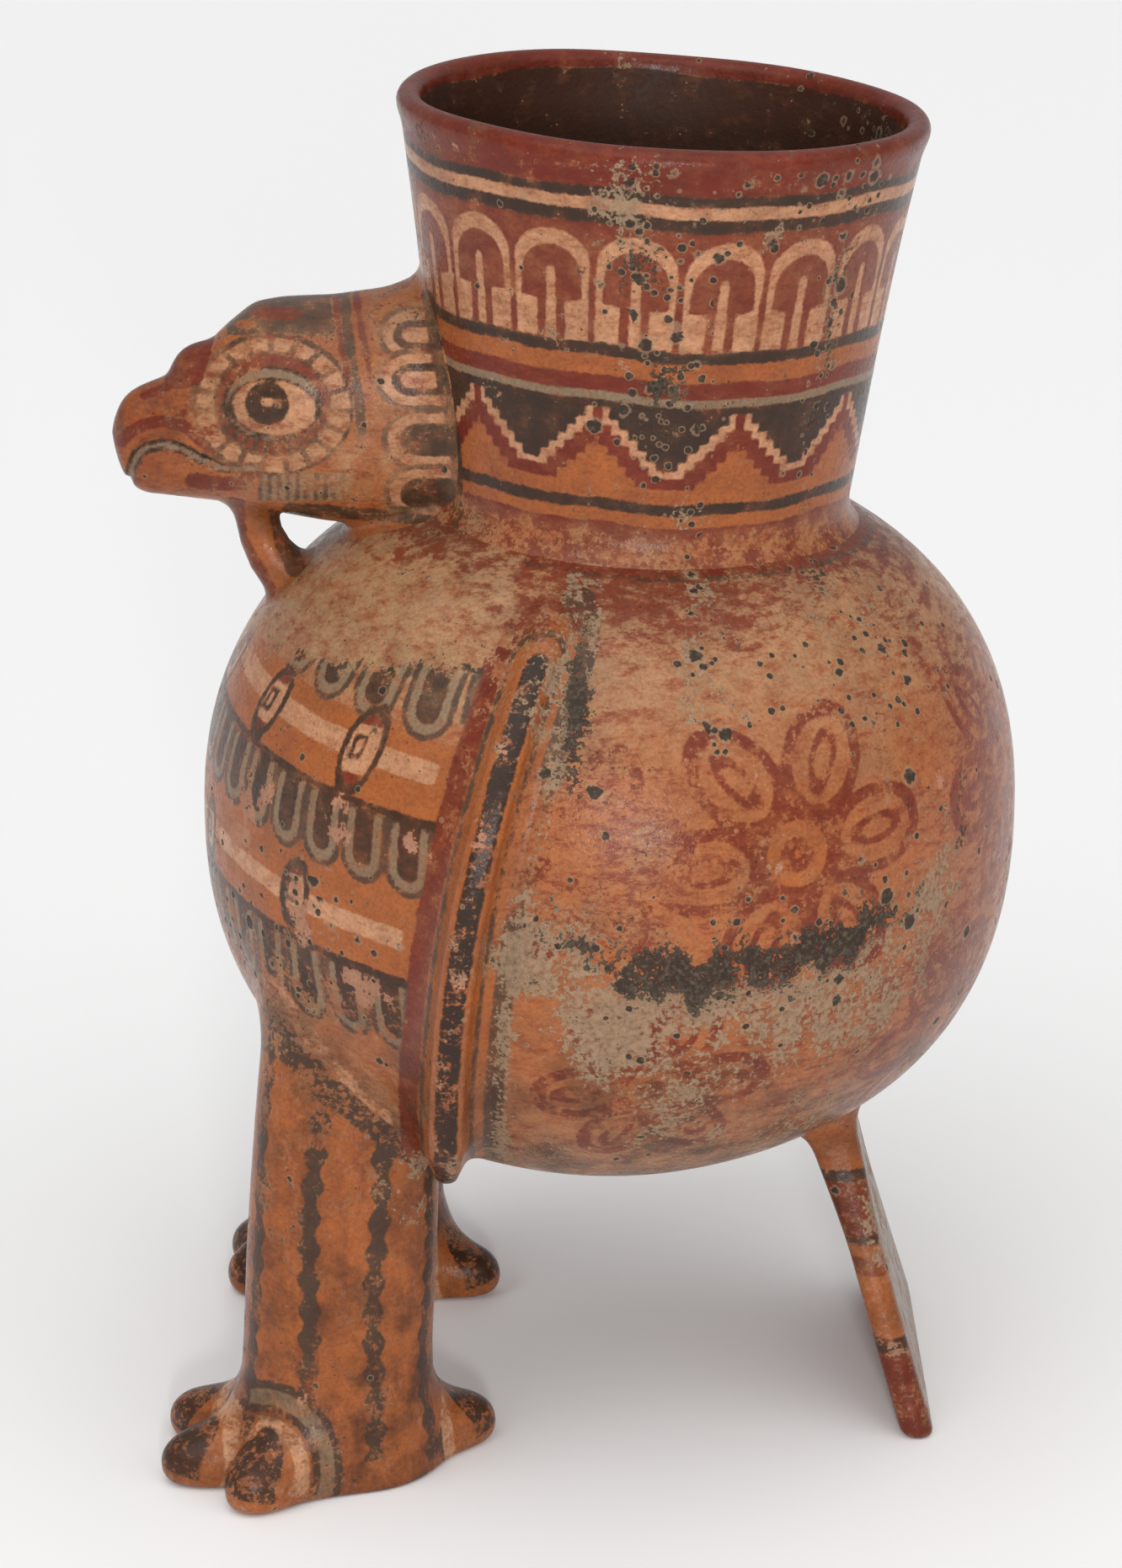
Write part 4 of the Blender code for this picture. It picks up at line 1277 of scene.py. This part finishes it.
def make_head(step):
    """One skin, shared out to the head and the two mandibles and capped inside."""
    points, quads = surface_net(head_solid, HEAD_LOW, HEAD_HIGH, step)
    slope = gradient(head_solid, points)
    normals = slope / np.maximum(np.linalg.norm(slope, axis=1, keepdims=True), 1e-9)
    labels = head_labels(points[quads].mean(axis=1))
    for label, (name, slot) in enumerate(HEAD_PIECES):
        used, local = np.unique(quads[labels == label], return_inverse=True)
        faces = local.reshape(-1, 4).tolist()
        extra, added = cap_loops(faces, points[used], HEAD_MIDDLE)
        part = np.concatenate([points[used], np.reshape(added, (-1, 3))])
        part_normals = np.concatenate([normals[used], np.tile([[-1.0, 0.0, 0.0]], (len(added), 1))])
        show(name, part, faces + extra, paint_head(part), slot, part_normals)


def make_side(side_name, side, coarse):
    def across(low, near, far, high):
        """A box beside the bird, from its near and far distance to the middle."""
        inner, outer = sorted((side * near, side * far))
        return (low[0], inner, low[1]), (high[0], outer, high[1])

    carve(
        "wing_" + side_name, "brown_black_edge_slip", lambda p: wing_solid(p, side),
        *across(*WING_BOX), WING_STEP * coarse, paint_body,
    )
    carve(
        "leg_" + side_name, "striped_orange_slip", lambda p: leg_solid(p, side),
        *across(*LEG_BOX), LEG_STEP * coarse, lambda p: paint_leg(p, side),
    )
    front = TOE_REACH if side < 0.0 else RIGHT_TOE_REACH
    toes = (
        ("middle_toe_", TOE_OUT, front),
        ("inner_toe_", TOE_OUT - TOE_SPREAD, front),
        ("outer_toe_", TOE_OUT + TOE_SPREAD, OUTER_TOE_REACH),
        ("rear_spur_", TOE_OUT + math.pi, SPUR_REACH),
    )
    for start, turn, reach in toes:
        ahead = np.array(toe_ahead(side, turn))
        ends = np.array([LEG_FOOT_X, side * LEG_FOOT_Y]) + np.outer((TOE_START, reach), ahead)
        carve(
            start + side_name, "dark_claw_slip", lambda p: toe_solid(p, side, turn, reach),
            np.append(ends.min(axis=0) - TOE_ROOM, 0.0), np.append(ends.max(axis=0) + TOE_ROOM, TOE_TOP),
            TOE_STEP * coarse, lambda p: paint_toe(p, side, turn, reach),
        )


def make_pieces(coarse):
    points, faces, inside = body_skin(int(BODY_COLUMNS / coarse), BODY_STEP * coarse)
    show("body_globe", points, faces, paint_body(points, inside), "burnished_orange_slip")
    points, faces, inside = neck_skin(int(NECK_COLUMNS / coarse), NECK_STEP * coarse)
    show("neck_collar", points, faces, paint_neck(points, inside), "red_banded_slip")
    make_head(HEAD_STEP * coarse)
    for name, slot, solid, low, high, step, paint in MIDDLE_PIECES:
        carve(name, slot, solid, low, high, step * coarse, paint)
    make_side("left", -1.0, coarse)
    make_side("right", 1.0, coarse)


# Clay

# Colours read off, from 0 to 255: the slips, then what age did to them and the painted shade
SHADES = {
    "orange": (170, 95, 46), "cream": (204, 150, 112), "red": (106, 27, 17), "stone": (134, 112, 88),
    # The brown inside the mouth is the bare clay darkened past its own colour as painted shade in the hollow
    "grey": (66, 53, 43), "dark": (42, 32, 26), "brown": (56, 28, 14),
    "pale ground": (178, 136, 98), "orange ground": (170, 96, 50), "brushed ground": (154, 82, 46),
    "bare ground": (168, 130, 94), "blush": (120, 46, 31), "streak": (150, 74, 38), "cloud": (108, 46, 30),
    "red bloom": (122, 44, 27), "chip": (186, 146, 112), "pit": (52, 38, 30), "break": (160, 106, 80),
    "pale break": (190, 140, 112), "grime": (62, 36, 24), "speck": (62, 36, 23), "lime": (120, 98, 76),
    "pale lime": (156, 130, 104), "halo": (146, 118, 92), "soot": (40, 33, 27), "pale soot": (86, 73, 59),
}


def light(shade):
    """A colour of the table as light."""
    share = np.array(SHADES[shade]) / 255.0
    return *np.where(share <= 0.04045, share / 12.92, ((share + 0.055) / 1.055) ** 2.4), 1.0


class Wires:
    """Short words for wiring shader nodes; numbers and shades go straight on to the sockets."""

    def __init__(self, material):
        self.nodes = material.node_tree.nodes
        self.links = material.node_tree.links

    def put(self, socket, value):
        if hasattr(value, "is_linked"):
            self.links.new(value, socket)
        else:
            socket.default_value = light(value) if isinstance(value, str) else value

    def node(self, kind, inputs, **settings):
        made = self.nodes.new("ShaderNode" + kind)
        for key, value in settings.items():
            setattr(made, key, value)
        for socket, value in inputs.items():
            self.put(made.inputs[socket], value)
        return made.outputs

    def layer(self, name):
        return self.node("Attribute", {}, attribute_name=name)["Fac"]

    def maths(self, operation, a, b, clamp=False):
        return self.node("Math", {0: a, 1: b}, operation=operation, use_clamp=clamp)[0]

    def times(self, a, b):
        return self.maths("MULTIPLY", a, b)

    def about(self, value, middle, factor):
        return self.times(self.maths("SUBTRACT", value, middle), factor)

    def total(self, first, *others):
        for other in others:
            first = self.maths("ADD", first, other)
        return first

    def most(self, first, *others):
        for other in others:
            first = self.maths("MAXIMUM", first, other)
        return first

    def ramp(self, value, low, high, out_low=0.0, out_high=1.0):
        inputs = {0: value, 1: low, 2: high, 3: out_low, 4: out_high}
        return self.node("MapRange", inputs, interpolation_type="SMOOTHSTEP")[0]

    def mix(self, factor, a, b):
        return self.node("Mix", {0: factor, 6: a, 7: b}, data_type="RGBA")[2]

    def stretch(self, place, factors):
        return self.node("VectorMath", {0: place, 1: factors}, operation="MULTIPLY")[0]

    def noise(self, place, scale, detail, roughness):
        inputs = {"Vector": place, "Scale": scale, "Detail": detail, "Roughness": roughness}
        return self.node("TexNoise", inputs)[0]

    def cells(self, place, scale):
        return self.node("TexVoronoi", {"Vector": place, "Scale": scale, "Randomness": 1.0})


def new_material(name):
    material = bpy.data.materials.new(name)
    material.use_nodes = True
    return material


def clay_material():
    """Burnished slip that has flaked, with mineral crusts and painted shade where the washes ask for them.
    """
    material = new_material("slip_painted_clay")
    wires = Wires(material)
    mix, ramp, noise, layer = wires.mix, wires.ramp, wires.noise, wires.layer
    maths, times, about, total, most = wires.maths, wires.times, wires.about, wires.total, wires.most
    place = wires.node("TexCoord", {})["Object"]
    broad = noise(place, 34.0, 4.0, 0.55)
    middle = noise(place, 140.0, 4.0, 0.6)
    fine = noise(place, 640.0, 4.0, 0.65)
    level = noise(wires.stretch(place, (1.0, 1.0, 2.6)), 150.0, 6.0, 0.76)
    hung = noise(wires.stretch(place, (2.2, 2.2, 0.6)), 150.0, 6.0, 0.76)
    streak = total(level, times(maths("SUBTRACT", hung, level), layer("upright")))
    patchy = times(total(streak, middle), 0.5)

    ground = mix(layer("coat"), "pale ground", "orange ground")
    ground = mix(ramp(streak, 0.42, 0.62, 0.0, 0.70), ground, "brushed ground")
    ground = mix(ramp(broad, 0.50, 0.68, 0.0, 0.50), ground, "bare ground")
    blush = total(times(layer("flush"), 0.24), streak, times(broad, 0.30))
    ground = mix(ramp(blush, 0.76, 0.92, 0.0, 0.80), ground, "blush")

    edge = total(about(middle, 0.56, 1.7), about(fine, 0.52, 1.4))
    redness = times(layer("flush"), ramp(patchy, 0.38, 0.62, 0.10, 0.70))
    paint = ground
    for name in COLOURS:
        if name == "stone":
            paint = mix(ramp(streak, 0.46, 0.68, 0.0, 0.34), paint, "streak")
            paint = mix(ramp(broad, 0.48, 0.70, 0.0, 0.30), paint, "cloud")
            paint = mix(redness, paint, "red bloom")
        reach = total(layer("slip_" + name), edge)
        paint = mix(ramp(reach, 0.42, -0.42), paint, name)
    thin = times(layer("fade"), ramp(patchy, 0.38, 0.64, 0.35, 1.65))
    thin = maths("ADD", thin, ramp(patchy, 0.50, 0.70, 0.0, 0.26), True)
    paint = mix(thin, paint, ground)

    grain = total(times(fine, 0.42), times(middle, 0.34), times(streak, 0.24))
    limit = maths("SUBTRACT", 0.735, times(layer("wear"), 0.40))
    worn = ramp(maths("SUBTRACT", grain, limit), -0.015, 0.035, 0.0, 0.86)
    colour = mix(worn, paint, ground)

    chips = wires.cells(place, 420.0)["Distance"]
    chip = total(chips, ramp(middle, 0.40, 0.62, 0.42, 0.0))
    colour = mix(ramp(chip, 0.15, 0.10, 0.0, 0.55), colour, "chip")
    pits = wires.cells(place, 300.0)["Distance"]
    pit = total(pits, ramp(broad, 0.38, 0.60, 0.30, 0.02))
    colour = mix(ramp(pit, 0.17, 0.11, 0.0, 0.72), colour, "pit")
    loss = total(about(middle, 0.5, 2.2), about(fine, 0.5, 0.9), layer("flake"))
    loss = ramp(loss, 0.50, 0.56, 0.0, 0.88)
    colour = mix(loss, colour, mix(middle, "break", "pale break"))
    # Painted shade: a blotchy dark brown mixed in as far as the shade wash asks
    shadow = ramp(noise(place, 75.0, 5.0, 0.68), 0.36, 0.72, 0.16, 0.90)
    colour = mix(times(shadow, layer("grime")), colour, "grime")
    speck = ramp(noise(place, 900.0, 3.0, 0.7), 0.40, 0.70, 0.0, 0.30)
    colour = mix(speck, colour, "speck")

    film = total(about(middle, 0.5, 1.7), about(fine, 0.5, 2.2), about(broad, 0.5, 0.9))
    deposit = ramp(total(layer("deposit"), film), 0.46, 0.66, 0.0, 0.86)
    colour = mix(deposit, colour, mix(ramp(fine, 0.30, 0.72), "lime", "pale lime"))
    blots = []
    for scale, largest in ((150.0, 0.26), (310.0, 0.28)):
        cells = wires.cells(place, scale)
        chance = wires.node("SeparateColor", {0: cells["Color"]})
        present = maths("LESS_THAN", chance[0], layer("spots"))
        size = total(times(chance[1], largest), 0.08)
        spot = total(maths("SUBTRACT", cells["Distance"], size), about(fine, 0.5, 0.40))
        halo = times(ramp(spot, 0.16, 0.08, 0.0, 0.55), present)
        colour = mix(halo, colour, "halo")
        blots.append(times(ramp(spot, 0.04, -0.03), present))
    scab = ramp(total(layer("crust"), film), 0.50, 0.62)
    scab = most(scab, most(*blots))
    soot = mix(ramp(fine, 0.44, 0.74), "soot", "pale soot")
    colour = mix(times(scab, 0.94), colour, soot)

    bare = ramp(layer("slip_brown"), 0.42, -0.42)
    dull = most(deposit, scab, loss, bare)
    gloss = ramp(grain, 0.38, 0.64, 0.17, 0.40)
    roughness = maths("ADD", gloss, times(dull, 0.30), True)
    heights = ((fine, 0.30), (middle, 0.25), (scab, 0.45), (deposit, 0.22))
    relief = total(*(times(mask, height) for mask, height in heights))
    bump = wires.node("Bump", {"Strength": 0.55, "Distance": 0.0012, "Height": relief})
    shader = wires.nodes["Principled BSDF"]
    wires.put(shader.inputs["Base Color"], colour)
    wires.put(shader.inputs["Roughness"], roughness)
    wires.put(shader.inputs["Normal"], bump[0])
    shader.inputs["Specular IOR Level"].default_value = 0.22
    return material


# Studio


FLOOR_REACH = 9.0
PAPER = (0.93, 0.93, 0.93, 1.0)
SOFTBOX = {"shape": "DISK", "size": 0.22, "energy": 17.0}
SOFTBOX_PLACE = (0.14, -2.2, 0.68)
SOFTBOX_TARGET = (0.0, 0.0, 0.20)
SUN_ANGLE = math.radians(60.0)
SUNS = (
    ("high_sun", (-0.8, -1.4, 2.4), 1.12),
    ("side_sun", (1.6, -1.2, 2.0), 0.60),
    ("back_sun", (0.1, 0.8, 2.4), 0.35),
)
WORLD_STRENGTH = 0.40


def add_floor():
    mesh = bpy.data.meshes.new("studio_floor")
    corners = [(-1.0, -1.0, 0.0), (1.0, -1.0, 0.0), (1.0, 1.0, 0.0), (-1.0, 1.0, 0.0)]
    mesh.from_pydata((np.array(corners) * FLOOR_REACH).tolist(), [], [(0, 1, 2, 3)])
    material = new_material("pale_paper")
    shader = material.node_tree.nodes["Principled BSDF"]
    shader.inputs["Base Color"].default_value = PAPER
    shader.inputs["Roughness"].default_value = 0.95
    shader.inputs["Specular IOR Level"].default_value = 0.0
    mesh.materials.append(material)
    floor = add_thing("studio_floor", mesh)


def aim(thing, place, target):
    thing.location = place
    thing.rotation_euler = (Vector(target) - Vector(place)).to_track_quat("-Z", "Y").to_euler()


def add_light(name, kind, place, target, **settings):
    lamp = bpy.data.lights.new(name, kind)
    for key, value in settings.items():
        setattr(lamp, key, value)
    aim(add_thing(name, lamp), place, target)


def add_studio():
    add_floor()
    scene = bpy.context.scene
    scene.world = bpy.data.worlds.new("studio")
    scene.world.use_nodes = True
    back = scene.world.node_tree.nodes["Background"]
    back.inputs["Color"].default_value = (1.0, 1.0, 1.0, 1.0)
    back.inputs["Strength"].default_value = WORLD_STRENGTH
    add_light("front_softbox", "AREA", SOFTBOX_PLACE, SOFTBOX_TARGET, **SOFTBOX)
    for name, place, power in SUNS:
        add_light(name, "SUN", place, (0.0, 0.0, 0.0), energy=power, angle=SUN_ANGLE)
    view = bpy.data.cameras.new("camera")
    view.lens = VIEW_LENS
    view.sensor_width = 36.0
    scene.camera = add_thing("camera", view)
    away = Vector((0.0, -math.cos(VIEW_ELEVATION), math.sin(VIEW_ELEVATION)))
    aim(scene.camera, Vector(VIEW_TARGET) + away * VIEW_DISTANCE, VIEW_TARGET)
    scene.view_settings.view_transform = "Standard"


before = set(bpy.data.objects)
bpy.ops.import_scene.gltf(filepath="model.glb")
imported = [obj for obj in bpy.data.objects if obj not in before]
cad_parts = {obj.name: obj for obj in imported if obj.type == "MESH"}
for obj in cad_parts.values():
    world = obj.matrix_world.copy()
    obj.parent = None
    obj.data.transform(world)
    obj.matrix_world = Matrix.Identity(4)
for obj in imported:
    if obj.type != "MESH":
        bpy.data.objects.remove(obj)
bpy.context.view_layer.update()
CLAY = clay_material()
make_pieces(1.0)
add_studio()
